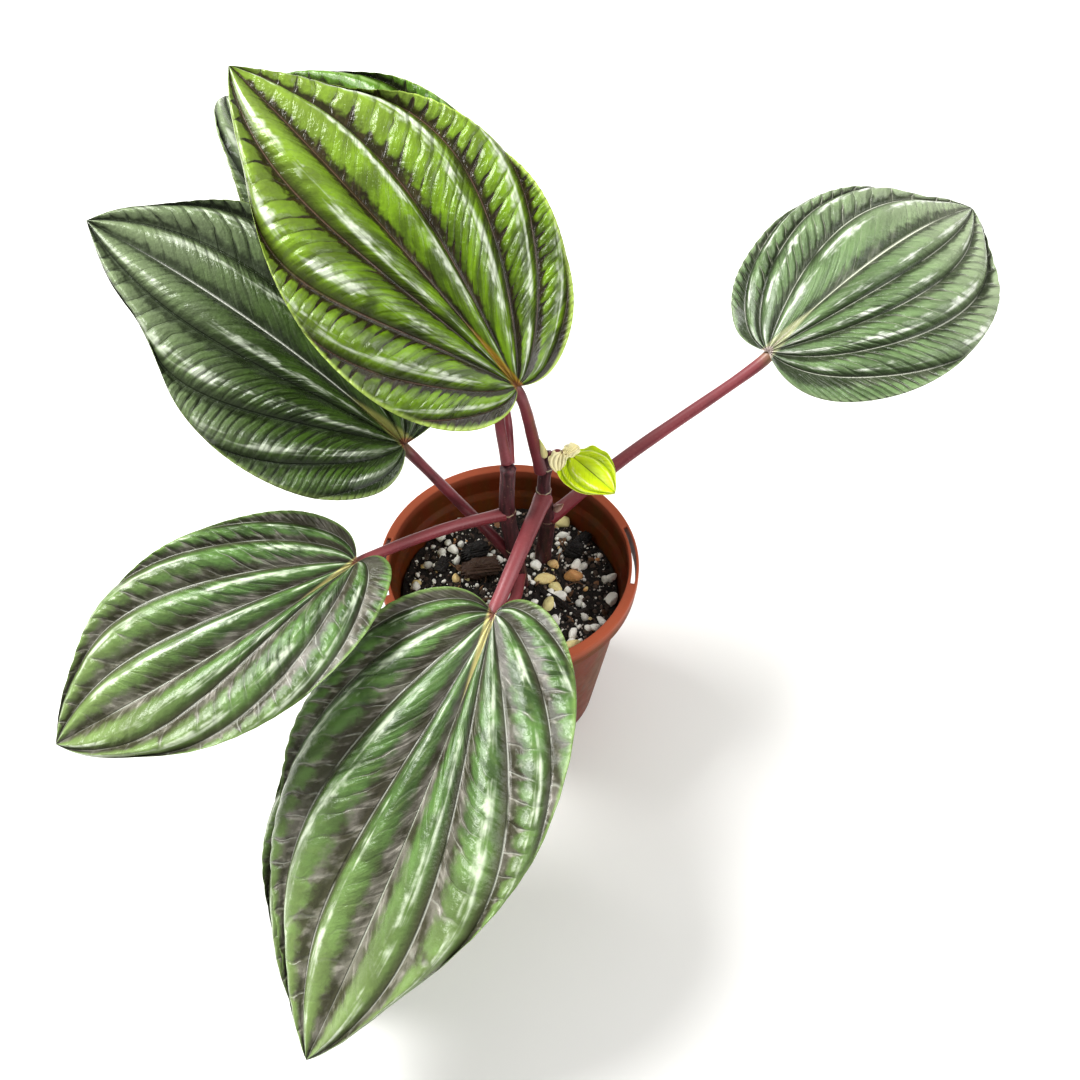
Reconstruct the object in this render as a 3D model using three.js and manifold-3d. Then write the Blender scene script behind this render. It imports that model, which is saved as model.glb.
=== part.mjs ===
// A peperomia rugosa in its plastic nursery pot.
// Millimetres, +Z up. The origin is the centre of the pot's flat base, and the pot's axis is Z.
// Two stem canes stand in holes in the soil. They carry nine leaves, each a petiole and a blade.
import * as THREE from 'three';
import { mergeVertices } from 'three/addons/utils/BufferGeometryUtils.js';
import Module from 'manifold-3d';

const wasm = await Module();
wasm.setup();
const { Manifold, Mesh: SolidMesh } = wasm;

// Driving dimensions.
const POT_HEIGHT = 100;
const RIM_RADIUS = 57.5;
const BASE_RADIUS = 39.6;
const SHOULDER_RADIUS = 51.9;
const SHOULDER_HEIGHT = 83.6;
const BAND_RADIUS = 53;
const WALL = 1.3;
const FLOOR = 1.4;
const SKIRT_DEPTH = 9;
const SLOT_LENGTH = 32;
const SLOT_WIDTH = 1.9;
const DRAIN_HOLES = 8;
const DRAIN_RADIUS = 4;
const DRAIN_CIRCLE = 27;
const SOIL_HEIGHT = 79;
const GRAINS = 34;
const GAP = 0.3;
const CANE_FOOT = 62;
const BLADE_THICKNESS = 1.1;
const MARGIN_WAVE = 0.8;
const MARGIN_WAVES = 4;
const COLUMN_GAP = 0.03;
const LAST_PLACE = 1.12;
const BROADEST_BAND = 0.34;
const DEGREE = Math.PI / 180;

const COLOURS = {
  pot: 0xb5573a,
  soil: 0x2b2421,
  cane: 0x4a2a2c,
  petiole: 0x9a4a55,
  oldLeaf: 0x39603a,
  freshLeaf: 0x5f9a2c,
  youngLeaf: 0xa8d020,
  sheath: 0xd8cf86,
};

const UP = new THREE.Vector3(0, 0, 1);
const vec = (point) => new THREE.Vector3(...point);

// The point with each term's vector added to it, times the term's factor.
function mixedPoint(point, ...terms) {
  return terms.reduce((sum, [vector, factor]) => sum.addScaledVector(vector, factor), point.clone());
}

// Solids: a geometry becomes a solid for the cuts, and the solid becomes a geometry again.

function weld(geometry) {
  const bare = geometry.clone();
  bare.deleteAttribute('normal');
  bare.deleteAttribute('uv');
  return mergeVertices(bare, 1e-4);
}

function toSolid(geometry) {
  const welded = weld(geometry);
  return new Manifold(new SolidMesh({
    numProp: 3,
    vertProperties: new Float32Array(welded.getAttribute('position').array),
    triVerts: new Uint32Array(welded.getIndex().array),
  }));
}

function toGeometry(solid) {
  const mesh = solid.getMesh();
  const geometry = new THREE.BufferGeometry();
  geometry.setAttribute('position', new THREE.BufferAttribute(mesh.vertProperties, 3));
  geometry.setIndex(new THREE.BufferAttribute(mesh.triVerts, 1));
  return geometry;
}

function largestPiece(solid) {
  return solid.decompose().reduce((best, piece) => (piece.volume() > best.volume() ? piece : best));
}

// A closed surface from rings of equal count, with a cap at each end.
function loft(rings) {
  const count = rings[0].length;
  const positions = rings.flat().flatMap((point) => point.toArray());
  const indices = [];
  for (let row = 0; row + 1 < rings.length; row += 1) {
    for (let i = 0; i < count; i += 1) {
      const a = row * count + i;
      const b = row * count + ((i + 1) % count);
      indices.push(a, b, b + count, a, b + count, a + count);
    }
  }
  const middle = (ring) => ring.reduce((sum, p) => sum.add(p), new THREE.Vector3()).divideScalar(count);
  const first = positions.length / 3;
  positions.push(...middle(rings[0]).toArray(), ...middle(rings[rings.length - 1]).toArray());
  const lastRow = (rings.length - 1) * count;
  for (let i = 0; i < count; i += 1) {
    const next = (i + 1) % count;
    indices.push(first, next, i, first + 1, lastRow + i, lastRow + next);
  }
  const geometry = new THREE.BufferGeometry();
  geometry.setAttribute('position', new THREE.Float32BufferAttribute(positions, 3));
  geometry.setIndex(indices);
  return geometry;
}

// A round stem along a smooth curve through the points, with its radius a function of the place along it.
function stem(points, radiusAt, steps, sides) {
  const curve = new THREE.CatmullRomCurve3(points.map(vec), false, 'centripetal');
  const frames = curve.computeFrenetFrames(steps, false);
  const rings = [];
  for (let i = 0; i <= steps; i += 1) {
    const centre = curve.getPointAt(i / steps);
    const radius = radiusAt(i / steps);
    const ring = [];
    for (let j = 0; j < sides; j += 1) {
      const turn = (2 * Math.PI * j) / sides;
      ring.push(mixedPoint(centre, [frames.normals[i], radius * Math.cos(turn)],
        [frames.binormals[i], radius * Math.sin(turn)]));
    }
    rings.push(ring);
  }
  return loft(rings);
}

// Blades. Each side of a blade's margin is one cubic curve from the base to the tip. Its first
// control point, lobe, lies beside and behind the base, and its second, shoulder, beside the tip.
// Both are in fractions of the blade's length. A dent narrows the margin about one place on it.
// The flat blade is then laid along an arched midrib, and each half is folded and bent.

// The flat place of a point: s runs from the base to the tip, and side from -1, left, to 1, right.
function flatPlace(leaf, s, side) {
  const half = side < 0 ? leaf.left : leaf.right;
  const out = Math.abs(side);
  const first = 3 * s * (1 - s) ** 2;
  const second = 3 * s * s * (1 - s);
  const [dentPlace, dentSpan, dentDepth] = half.dent;
  const dent = dentDepth * Math.exp(-(((s - dentPlace) / dentSpan) ** 2)) * out * out;
  const across = (first * half.lobe[0] + second * half.shoulder[0]) * out * (1 - dent);
  const lobeRun = (1 - out * out) / 3 - half.lobe[1] * out * out;
  const shoulderRun = ((1 - out * out) * 2) / 3 + half.shoulder[1] * out * out;
  const run = first * lobeRun + second * shoulderRun + s ** 3;
  return { x: Math.sign(side) * across * leaf.length, y: run * leaf.length };
}

// The midrib's frame: the chord from base to tip, the facing normal and the side direction.
function leafFrame(leaf) {
  const base = vec(leaf.base);
  const chord = vec(leaf.tip).sub(base);
  const reach = chord.length();
  const along = chord.clone().normalize();
  const side = along.clone().cross(UP).normalize();
  const facing = side.clone().cross(along).applyAxisAngle(along, leaf.roll * DEGREE);
  return { base, chord, reach, facing, beside: along.clone().cross(facing) };
}

// The point of the blade at a flat place, lifted by height along the blade's own normal.
function bladePoint(leaf, s, side, height) {
  const { base, chord, reach, facing, beside } = leafFrame(leaf);
  const { x, y } = flatPlace(leaf, s, side);
  const k = y / leaf.length;
  const bow = 4 * k * (1 - k) * reach;
  const slope = 4 * (1 - 2 * k) * reach;
  const spine = mixedPoint(base, [chord, k], [facing, leaf.arch * bow], [beside, leaf.sweep * bow]);
  const along = mixedPoint(chord, [facing, leaf.arch * slope], [beside, leaf.sweep * slope]).normalize();
  const normal = mixedPoint(facing, [along, -facing.dot(along)]).normalize();
  normal.applyAxisAngle(along, leaf.twist * DEGREE * (k - 0.5));
  const across = along.clone().cross(normal);
  const half = side < 0 ? leaf.left : leaf.right;
  const width = 0.34 * leaf.length;
  const fold = half.fold * DEGREE;
  const bend = half.bend * DEGREE;
  const lean = fold + (bend * Math.abs(x)) / width;
  const outward = (width / bend) * (Math.sin(lean) - Math.sin(fold));
  const rise = (width / bend) * (Math.cos(fold) - Math.cos(lean));
  const surfaceLean = side === 0 ? 0 : lean;
  const sign = Math.sign(x);
  return mixedPoint(
    spine,
    [across, sign * outward],
    [normal, rise],
    [normal, height * Math.cos(surfaceLean)],
    [across, -sign * height * Math.sin(surfaceLean)],
  );
}

// The side places of the midrib and the main veins at s. A vein starts at its own place near the
// base and drifts outwards, and it runs out over the margin where s comes to its end.
function veinPlaces(half, s) {
  return [0, ...half.veins.map(([start, end]) => 1 - (1 - start) * (1 - (s / end) ** 2.5))];
}

// The pleats: the surface lies low along each main vein and stands in a rounded ridge between two.
// The margin itself waves a little.
function surfaceHeight(leaf, s, side) {
  const half = side < 0 ? leaf.left : leaf.right;
  const out = Math.abs(side);
  const places = [...veinPlaces(half, s), LAST_PLACE];
  const band = places.findIndex((place, i) => out <= places[i + 1]);
  const [inner, outer] = [places[band], places[band + 1]];
  const halfWidth = Math.abs(flatPlace(leaf, s, Math.sign(side) || 1).x);
  const ridge = Math.abs(Math.sin((Math.PI * (out - inner)) / (outer - inner))) ** 0.8;
  const wave = MARGIN_WAVE * Math.sin(2 * Math.PI * MARGIN_WAVES * s) * out ** 4;
  return leaf.pleat * Math.min(outer - inner, BROADEST_BAND) * halfWidth * ridge + wave * (1 - s);
}

// The side places of one half's columns at s: each ridge and each vein, and the margin.
function columnPlaces(half, s) {
  const places = veinPlaces(half, s);
  const columns = places.slice(1).flatMap((place, i) => [(places[i] + place) / 2, place]);
  const kept = columns.map((place, i) => Math.min(place, 1 - COLUMN_GAP * (columns.length - i)));
  return [...kept, 1];
}

// The whole blade: an upper and a lower sheet with the same triangles, closed along the margin.
function bladeGeometry(leaf, thickness) {
  const { rows } = leaf;
  const columnsAt = (s) => {
    const left = columnPlaces(leaf.left, s).map((place) => -place);
    return [...left.reverse(), 0, ...columnPlaces(leaf.right, s)];
  };
  const sheet = (offset) => {
    const points = [bladePoint(leaf, 0, 0, offset)];
    for (let row = 1; row < rows; row += 1) {
      const s = row / rows;
      const heightAt = (side) => offset + surfaceHeight(leaf, s, side);
      points.push(...columnsAt(s).map((side) => bladePoint(leaf, s, side, heightAt(side))));
    }
    points.push(bladePoint(leaf, 1, 0, offset));
    return points;
  };
  const upper = sheet(thickness / 2);
  const points = [...upper, ...sheet(-thickness / 2)];
  const lower = upper.length;
  const width = columnsAt(0.5).length;
  const midrib = columnPlaces(leaf.left, 0.5).length;
  const at = (row, column) => 1 + (row - 1) * width + column;
  const tip = lower - 1;
  const faces = [];
  for (let c = 0; c + 1 < width; c += 1) {
    faces.push([0, at(1, c + 1), at(1, c)]);
    faces.push([tip, at(rows - 1, c), at(rows - 1, c + 1)]);
    for (let r = 1; r + 1 < rows; r += 1) {
      const [a, b, d, e] = [at(r, c), at(r, c + 1), at(r + 1, c), at(r + 1, c + 1)];
      const split = c < midrib ? [[a, b, d], [b, e, d]] : [[a, b, e], [a, e, d]];
      faces.push(...split);
    }
  }
  const inner = Array.from({ length: rows - 1 }, (_, i) => i + 1);
  const rightEdge = inner.map((row) => at(row, width - 1));
  const leftEdge = inner.map((row) => at(row, 0)).reverse();
  const edge = [0, ...rightEdge, tip, ...leftEdge];
  const indices = faces.flatMap(([a, b, c]) => [a, b, c, a + lower, c + lower, b + lower]);
  edge.forEach((a, i) => {
    const b = edge[(i + 1) % edge.length];
    indices.push(a, a + lower, b, b, a + lower, b + lower);
  });
  const geometry = new THREE.BufferGeometry();
  const positions = points.flatMap((point) => point.toArray());
  geometry.setAttribute('position', new THREE.Float32BufferAttribute(positions, 3));
  geometry.setIndex(indices);
  return geometry;
}

// The nine leaves. Base and tip are the ends of the midrib. Roll turns the upper face about the
// midrib, and twist turns it from base to tip, in degrees. Arch and sweep bow the midrib, as
// fractions of it. Fold is a half's slope at the midrib and bend is what it gains by the margin.
// A main vein has its side place near the base and the s at which it leaves the blade. A dent has
// its place, its span and its depth.
const SIDE = {
  veins: [[0.28, 1.6], [0.57, 0.9], [0.79, 0.65], [0.93, 0.42]],
  dent: [0.88, 0.08, 0.1],
};
const GROWN = { pleat: 0.24, rows: 13, colour: COLOURS.oldLeaf };
const LEAVES = {
  top: {
    ...GROWN,
    base: [6, -2, 208], tip: [-92, 81, 292], roll: -2, arch: 0.06, sweep: -0.02, twist: 26,
    left: {
      ...SIDE, lobe: [0.16, 0.17], shoulder: [0.62, 0.38], fold: 2, bend: -19,
      veins: [[0.27, 1.5], [0.52, 0.84], [0.77, 0.66], [0.91, 0.42]],
    },
    right: {
      ...SIDE, lobe: [0.24, 0.19], shoulder: [0.73, 0.58], fold: -1, bend: 9,
      veins: [[0.28, 2], [0.6, 0.95], [0.78, 0.62], [0.94, 0.4]],
      dent: [0.87, 0.05, 0.12],
    },
    pleat: 0.28, colour: COLOURS.freshLeaf,
  },
  back: {
    ...GROWN,
    base: [-3, 40, 200], tip: [-88, 128, 259], roll: -16, arch: 0.13, sweep: 0, twist: 0,
    left: {
      ...SIDE, lobe: [0.3, 0.18], shoulder: [0.54, 0.58], fold: 10, bend: -8,
    },
    right: {
      ...SIDE, lobe: [0.3, 0.18], shoulder: [0.5, 0.58], fold: 14, bend: -4,
    },
    pleat: 0.28,
  },
  back_left: {
    ...GROWN,
    base: [-58, 94, 148], tip: [-119, 182, 220], roll: 2, arch: 0.1, sweep: 0, twist: 0,
    left: {
      ...SIDE, lobe: [0.4, 0.18], shoulder: [0.66, 0.62], fold: 40, bend: 6,
    },
    right: {
      ...SIDE, lobe: [0.3, 0.18], shoulder: [0.54, 0.58], fold: 4, bend: -8,
    },
  },
  left: {
    ...GROWN,
    base: [-39, 2, 175], tip: [-159, 75, 233], roll: -10, arch: 0.01, sweep: 0.03, twist: -4,
    left: {
      ...SIDE, lobe: [0.21, 0.23], shoulder: [0.62, 0.37], fold: 3, bend: -18,
      veins: [[0.3, 2.5], [0.57, 0.95], [0.79, 0.65], [0.93, 0.4]],
      dent: [0.85, 0.08, 0.18],
    },
    right: {
      ...SIDE, lobe: [0.49, 0.15], shoulder: [0.46, 0.72], fold: 8, bend: -7,
    },
  },
  front_left: {
    ...GROWN,
    base: [-60, -34, 147], tip: [-176, -90, 115], roll: -11, arch: 0.07, sweep: -0.05, twist: 7,
    left: {
      ...SIDE, lobe: [0.05, 0.31], shoulder: [0.56, 0.48], fold: 5, bend: -10,
      veins: [[0.28, 1.25], [0.66, 0.92], [0.85, 0.6]],
    },
    right: {
      ...SIDE, lobe: [0.27, 0.24], shoulder: [0.62, 0.75], fold: 12, bend: -1,
      veins: [[0.27, 1.7], [0.54, 1.02], [0.77, 0.7], [0.9, 0.5]],
    },
  },
  front: {
    ...GROWN,
    base: [-7, -52, 133], tip: [-85, -191, 45], roll: 5, arch: 0.06, sweep: -0.04, twist: 31,
    left: {
      ...SIDE, lobe: [0.1, 0.22], shoulder: [0.57, 0.37], fold: 10, bend: -4,
      veins: [[0.3, 1.4], [0.59, 0.85], [0.81, 0.68], [0.93, 0.4]],
      dent: [0.9, 0.1, 0.17],
    },
    right: {
      ...SIDE, lobe: [0.25, 0.2], shoulder: [0.66, 0.64], fold: 7, bend: -31,
      veins: [[0.21, 1.5], [0.53, 1], [0.79, 0.7], [0.92, 0.45]],
    },
  },
  low: {
    ...GROWN,
    base: [-35, -66, 85], tip: [-99, -158, 13], roll: 0, arch: 0.06, sweep: 0, twist: 0,
    left: {
      ...SIDE, lobe: [0.28, 0.18], shoulder: [0.42, 0.58], fold: 4, bend: -8,
    },
    right: {
      ...SIDE, lobe: [0.38, 0.18], shoulder: [0.54, 0.58], fold: -2, bend: -4,
    },
  },
  right: {
    ...GROWN,
    base: [117, 60, 162], tip: [222, 132, 179], roll: 4, arch: 0.14, sweep: 0.02, twist: 6,
    left: {
      ...SIDE, lobe: [0.39, 0.18], shoulder: [0.55, 0.68], fold: -5, bend: 2,
      veins: [[0.46, 1.6], [0.74, 0.85], [0.89, 0.6]],
      dent: [0.88, 0.06, 0.33],
    },
    right: {
      ...SIDE, lobe: [0.45, 0.16], shoulder: [0.69, 0.68], fold: -9, bend: -11,
      veins: [[0.22, 4], [0.42, 3], [0.64, 1.1], [0.81, 0.6]],
      dent: [0.9, 0.08, 0.15],
    },
  },
  young: {
    ...GROWN,
    base: [27, 6, 160], tip: [43, -17, 162], roll: 7, arch: 0.06, sweep: 0.02, twist: 5,
    left: {
      ...SIDE, lobe: [0.52, 0.14], shoulder: [0.51, 0.71], fold: 3, bend: -9,
      veins: [[0.5, 1.3], [0.8, 0.8]],
    },
    right: {
      ...SIDE, lobe: [0.47, 0.14], shoulder: [0.54, 0.74], fold: -1, bend: -15,
      veins: [[0.62, 1.3], [0.85, 0.8]],
    },
    rows: 7, colour: COLOURS.youngLeaf,
  },
};
Object.values(LEAVES).forEach((leaf) => {
  leaf.length = vec(leaf.base).distanceTo(vec(leaf.tip)) * (1 + (8 / 3) * (leaf.arch ** 2 + leaf.sweep ** 2));
});

// Canes: each is a row of joints, swollen at every node. Nodes are places along the cane, and thin
// is the share of the radius that is left at its top.
const CANES = {
  left: {
    points: [[5, 2, CANE_FOOT], [4.5, 1, 82], [2.6, 0, 108], [0.2, -1, 135], [1.4, -2, 164]],
    radius: 4, nodes: [0.46, 0.71, 1], thin: 0.75,
  },
  right: {
    points: [
      [15.6, 17.6, CANE_FOOT], [16, 17, 82], [18, 14, 111], [16.2, 10.6, 134], [17, 9.6, 149], [18.9, 9, 159],
    ],
    radius: 4, nodes: [0.5, 0.74, 0.9], thin: 0.62,
  },
};

// Petioles: the middle points of each route from its cane to the blade. The ends are worked out.
const PETIOLES = {
  top: { from: [15.2, 8.5, 149], via: [[12.4, 6, 168]], radius: 2.5 },
  back: { from: [1, -1, 165], via: [[-1, 3, 182], [-2, 20, 196]], radius: 2 },
  back_left: { from: [2, -1.5, 165], via: [[1.8, 13, 177], [-6, 50, 178], [-30, 78, 166]], radius: 1.8 },
  left: { from: [3, 0.5, 100], via: [[-15, 1, 132]], radius: 2.5 },
  front_left: { from: [0.4, -1, 134], via: [[-27, -16, 143]], radius: 2.5 },
  front: { from: [16, 9, 131], via: [[5, -22, 135]], radius: 3.4 },
  low: { from: [4.6, 0, 90], via: [[1, -22, 99], [-16, -46, 107], [-27, -58, 102]], radius: 2.4 },
  right: { from: [18.5, 14, 111], via: [[52, 30, 130]], radius: 2.9 },
  young: { from: [18.9, 9, 158], via: [[22, 8, 160.5]], radius: 1.2 },
};

function caneRadius({ radius, nodes, thin }, grow) {
  return (t) => {
    const swell = nodes.reduce((sum, node) => sum + Math.exp(-(((t - node) / 0.025) ** 2)), 0);
    return radius * (1 - (1 - thin) * t) + 0.5 * Math.min(swell, 1) + grow;
  };
}

const caneGeometry = (cane, grow = 0) => stem(cane.points, caneRadius(cane, grow), 24, 10);

// A petiole ends under the base of its blade, and points along the midrib there.
function petioleGeometry(name) {
  const { from, via, radius } = PETIOLES[name];
  const leaf = LEAVES[name];
  const normal = bladePoint(leaf, 0.02, 0, 1).sub(bladePoint(leaf, 0.02, 0, 0));
  const along = bladePoint(leaf, 0.04, 0, 0).sub(bladePoint(leaf, 0, 0, 0)).normalize();
  const drop = BLADE_THICKNESS / 2 + GAP + radius * 0.75;
  const end = mixedPoint(vec(leaf.base), [normal, -drop], [along, radius * 1.3]);
  const seat = mixedPoint(vec(leaf.base), [normal, -drop * 1.15], [along, -radius * 1.5]);
  const points = [from, ...via, seat.toArray(), end.toArray()];
  const radiusAt = (t) => radius * (1.12 - 0.3 * t + 0.12 * THREE.MathUtils.smoothstep(t, 0.8, 0.95));
  return stem(points, radiusAt, 11, 8);
}

// The pot: a turned wall with a rolled flange, a skirt, an inner ledge, slots and drain holes.
// The profile goes up the outside from the base, over the rim and down the inside.
function potProfile() {
  const flange = POT_HEIGHT - 1.2;
  const skirtFoot = POT_HEIGHT - SKIRT_DEPTH;
  const bead = POT_HEIGHT - 5;
  const outside = [
    [0, 0],
    [BASE_RADIUS - 1, 0],
    [BASE_RADIUS, 1.2],
    [SHOULDER_RADIUS, SHOULDER_HEIGHT],
    [BAND_RADIUS + WALL, SHOULDER_HEIGHT + 2.6],
    [BAND_RADIUS + WALL, flange],
  ];
  const skirt = [
    [RIM_RADIUS - 1.1, flange],
    [RIM_RADIUS - 1.4, skirtFoot],
    [RIM_RADIUS - 0.4, skirtFoot],
    [RIM_RADIUS - 0.3, bead - 0.4],
    [RIM_RADIUS, bead],
    [RIM_RADIUS, POT_HEIGHT - 0.4],
    [RIM_RADIUS - 0.4, POT_HEIGHT],
  ];
  const inside = [
    [BAND_RADIUS + 0.5, POT_HEIGHT],
    [BAND_RADIUS, POT_HEIGHT - 0.4],
    [BAND_RADIUS, SHOULDER_HEIGHT + 3.2],
    [SHOULDER_RADIUS - WALL, SHOULDER_HEIGHT + 0.8],
    [BASE_RADIUS - WALL, FLOOR],
    [0, FLOOR],
  ];
  return [...outside, ...skirt, ...inside].map(([r, z]) => new THREE.Vector2(r, z));
}

// A slot: a band of the flange between two arcs, cut right through.
function slotCutter(facing) {
  const middle = (BAND_RADIUS + WALL + RIM_RADIUS - 1.1) / 2;
  const turn = SLOT_LENGTH / middle / 2;
  const outline = new THREE.Shape();
  outline.absarc(0, 0, middle + SLOT_WIDTH / 2, facing - turn, facing + turn, false);
  outline.absarc(0, 0, middle - SLOT_WIDTH / 2, facing + turn, facing - turn, true);
  const cutter = new THREE.ExtrudeGeometry(outline, { depth: 4, bevelEnabled: false, curveSegments: 6 });
  cutter.translate(0, 0, POT_HEIGHT - 2);
  return toSolid(cutter);
}

function drainCutter(turn) {
  const drill = new THREE.CylinderGeometry(DRAIN_RADIUS, DRAIN_RADIUS, 4 * FLOOR, 10);
  drill.rotateX(Math.PI / 2);
  drill.translate(DRAIN_CIRCLE * Math.cos(turn), DRAIN_CIRCLE * Math.sin(turn), FLOOR / 2);
  return toSolid(drill);
}

function potSolid() {
  const turned = new THREE.LatheGeometry(potProfile(), 40);
  turned.rotateX(Math.PI / 2);
  const drains = Array.from({ length: DRAIN_HOLES }, (_, i) => (2 * Math.PI * (i + 0.5)) / DRAIN_HOLES);
  const cutters = [...[0, Math.PI].map(slotCutter), ...drains.map(drainCutter)];
  return cutters.reduce((pot, cutter) => pot.subtract(cutter), toSolid(turned));
}

// A seeded run of numbers from 0 to 1.
function randomRun(seed) {
  let state = seed;
  return () => {
    state = (Math.imul(state, 1664525) + 1013904223) >>> 0;
    return state / 4294967296;
  };
}

// The soil's top: low behind on the right, higher at the front and left, with small heaps.
function soilTop(x, y) {
  const heaps = 1.1 * Math.sin(x / 7.3 + 1) * Math.cos(y / 8.9) + 0.6 * Math.sin((x + y) / 4.1);
  return SOIL_HEIGHT - 0.03 * x - 0.045 * y + heaps;
}

// The soil: a plug that fills the pot, with grains of perlite and chips of bark standing out of it.
function soilSolid() {
  const sectors = 24;
  const slope = (SHOULDER_RADIUS - BASE_RADIUS) / SHOULDER_HEIGHT;
  const radiusAt = (z) => BASE_RADIUS - WALL - 1.5 * GAP + slope * (z - FLOOR);
  const circle = (radius, heightAt) => Array.from({ length: sectors }, (_, i) => {
    const turn = (2 * Math.PI * i) / sectors;
    const [x, y] = [radius * Math.cos(turn), radius * Math.sin(turn)];
    return new THREE.Vector3(x, y, heightAt(x, y));
  });
  const bottom = FLOOR + GAP;
  const top = radiusAt(SOIL_HEIGHT - 4);
  const rings = [
    circle(radiusAt(bottom) * 0.5, () => bottom),
    circle(radiusAt(bottom), () => bottom),
    ...[1, 0.83, 0.66, 0.49, 0.32, 0.15].map((share) => circle(top * share, soilTop)),
  ];
  const random = randomRun(7);
  const grains = Array.from({ length: GRAINS }, (_, i) => {
    const size = 1.9 + 1.5 * random();
    const away = Math.min(top * Math.sqrt(random()), top - size * 2.8);
    const turn = 2 * Math.PI * random();
    const chip = new THREE.BoxGeometry(size * 5, size * 1.6, size);
    const grain = i % 5 === 4 ? chip : new THREE.IcosahedronGeometry(size, 0);
    grain.rotateX(random() * 0.5);
    grain.rotateZ(random() * 2 * Math.PI);
    const [x, y] = [away * Math.cos(turn), away * Math.sin(turn)];
    grain.translate(x, y, soilTop(x, y) + size * 0.3);
    return toSolid(grain);
  });
  return grains.reduce((soil, grain) => soil.add(grain), toSolid(loft(rings)));
}

// A bud or sheath: a small pointed drop that leans along a direction.
function dropGeometry({ at, lean, length, radius }) {
  const profile = [0, 0.12, 0.35, 0.7, 1].map((k) => {
    const round = k === 0 || k === 1 ? 0 : Math.sin(Math.PI * Math.sqrt(k)) * 0.7 + 0.3 * (1 - k);
    return new THREE.Vector2(radius * round, length * k);
  });
  const drop = new THREE.LatheGeometry(profile, 8);
  const turn = new THREE.Quaternion().setFromUnitVectors(new THREE.Vector3(0, 1, 0), vec(lean).normalize());
  drop.applyQuaternion(turn);
  drop.translate(...at);
  return drop;
}

const BUDS = {
  bud_side: { at: [21.2, 11.5, 119.5], lean: [0.35, -0.45, 1], length: 11.5, radius: 1.7 },
  sheath_top: { at: [16.6, 6.4, 159.5], lean: [-0.16, -0.12, 1], length: 14, radius: 1.6 },
};

const plant = new THREE.Group();

function place(name, geometry, colour, roughness) {
  const material = new THREE.MeshStandardMaterial({ color: colour, roughness, metalness: 0 });
  const mesh = new THREE.Mesh(geometry, material);
  mesh.name = name;
  plant.add(mesh);
}

const canes = Object.values(CANES).map((cane) => toSolid(caneGeometry(cane)));
const caneRooms = Object.values(CANES).map((cane) => toSolid(caneGeometry(cane, GAP)));
const caneRoom = caneRooms[0].add(caneRooms[1]);

place('pot', toGeometry(potSolid()), COLOURS.pot, 0.45);
place('soil', toGeometry(largestPiece(soilSolid().subtract(caneRoom))), COLOURS.soil, 0.95);
Object.keys(CANES).forEach((name, i) => place(`cane_${name}`, toGeometry(canes[i]), COLOURS.cane, 0.6));

let taken = caneRoom;
Object.entries(LEAVES).forEach(([name, leaf]) => {
  const room = toSolid(bladeGeometry(leaf, BLADE_THICKNESS + 2 * GAP));
  const petiole = largestPiece(toSolid(petioleGeometry(name)).subtract(taken).subtract(room));
  place(`petiole_${name}`, toGeometry(petiole), COLOURS.petiole, 0.5);
  place(`blade_${name}`, bladeGeometry(leaf, BLADE_THICKNESS), leaf.colour, 0.4);
  taken = taken.add(petiole);
});

Object.entries(BUDS).forEach(([name, bud]) => {
  place(name, toGeometry(largestPiece(toSolid(dropGeometry(bud)).subtract(taken))), COLOURS.sheath, 0.6);
});

export default plant;
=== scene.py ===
"""A peperomia rugosa in its plastic nursery pot: the finished surfaces, their materials and the stage."""

from collections import namedtuple

import bmesh
import bpy
import numpy as np
from bpy.props import FloatProperty, FloatVectorProperty, IntProperty, PointerProperty
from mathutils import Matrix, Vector


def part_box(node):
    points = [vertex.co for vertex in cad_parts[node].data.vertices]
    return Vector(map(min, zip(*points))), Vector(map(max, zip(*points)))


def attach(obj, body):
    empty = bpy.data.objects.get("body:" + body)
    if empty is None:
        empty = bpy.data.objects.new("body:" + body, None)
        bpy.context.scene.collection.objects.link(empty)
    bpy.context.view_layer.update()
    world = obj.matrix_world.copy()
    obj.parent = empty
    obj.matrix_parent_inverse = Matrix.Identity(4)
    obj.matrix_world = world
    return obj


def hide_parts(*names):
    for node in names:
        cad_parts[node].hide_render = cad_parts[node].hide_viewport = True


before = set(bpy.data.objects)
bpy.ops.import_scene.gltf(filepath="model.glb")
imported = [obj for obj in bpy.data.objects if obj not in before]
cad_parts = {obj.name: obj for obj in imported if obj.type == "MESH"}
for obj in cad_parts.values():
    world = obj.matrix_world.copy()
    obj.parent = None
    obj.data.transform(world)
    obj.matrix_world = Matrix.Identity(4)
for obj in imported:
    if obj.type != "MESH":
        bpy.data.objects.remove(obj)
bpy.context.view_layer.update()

bl_info = {
    "name": "Potted peperomia rugosa",
    "version": (1, 0, 0),
    "blender": (4, 5, 0),
    "location": "3D View > Sidebar > Plant",
    "description": "Builds the pleated leaves, stalks, canes, soil and pot of a potted plant, and its stage",
    "category": "Object",
}

MM = 0.001
UP = np.array([0.0, 0.0, 1.0])


def rgb(code):
    """A colour written as six hexadecimal digits, as linear red, green and blue from 0 to 1."""
    shares = [int(code[i:i + 2], 16) / 255 for i in (0, 2, 4)]
    return tuple(v / 12.92 if v <= 0.04045 else ((v + 0.055) / 1.055) ** 2.4 for v in shares)


def shade(colour, factor):
    """A darker or lighter colour: each part times the factor, at most 1."""
    return tuple(min(factor * v, 1) for v in colour)


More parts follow.
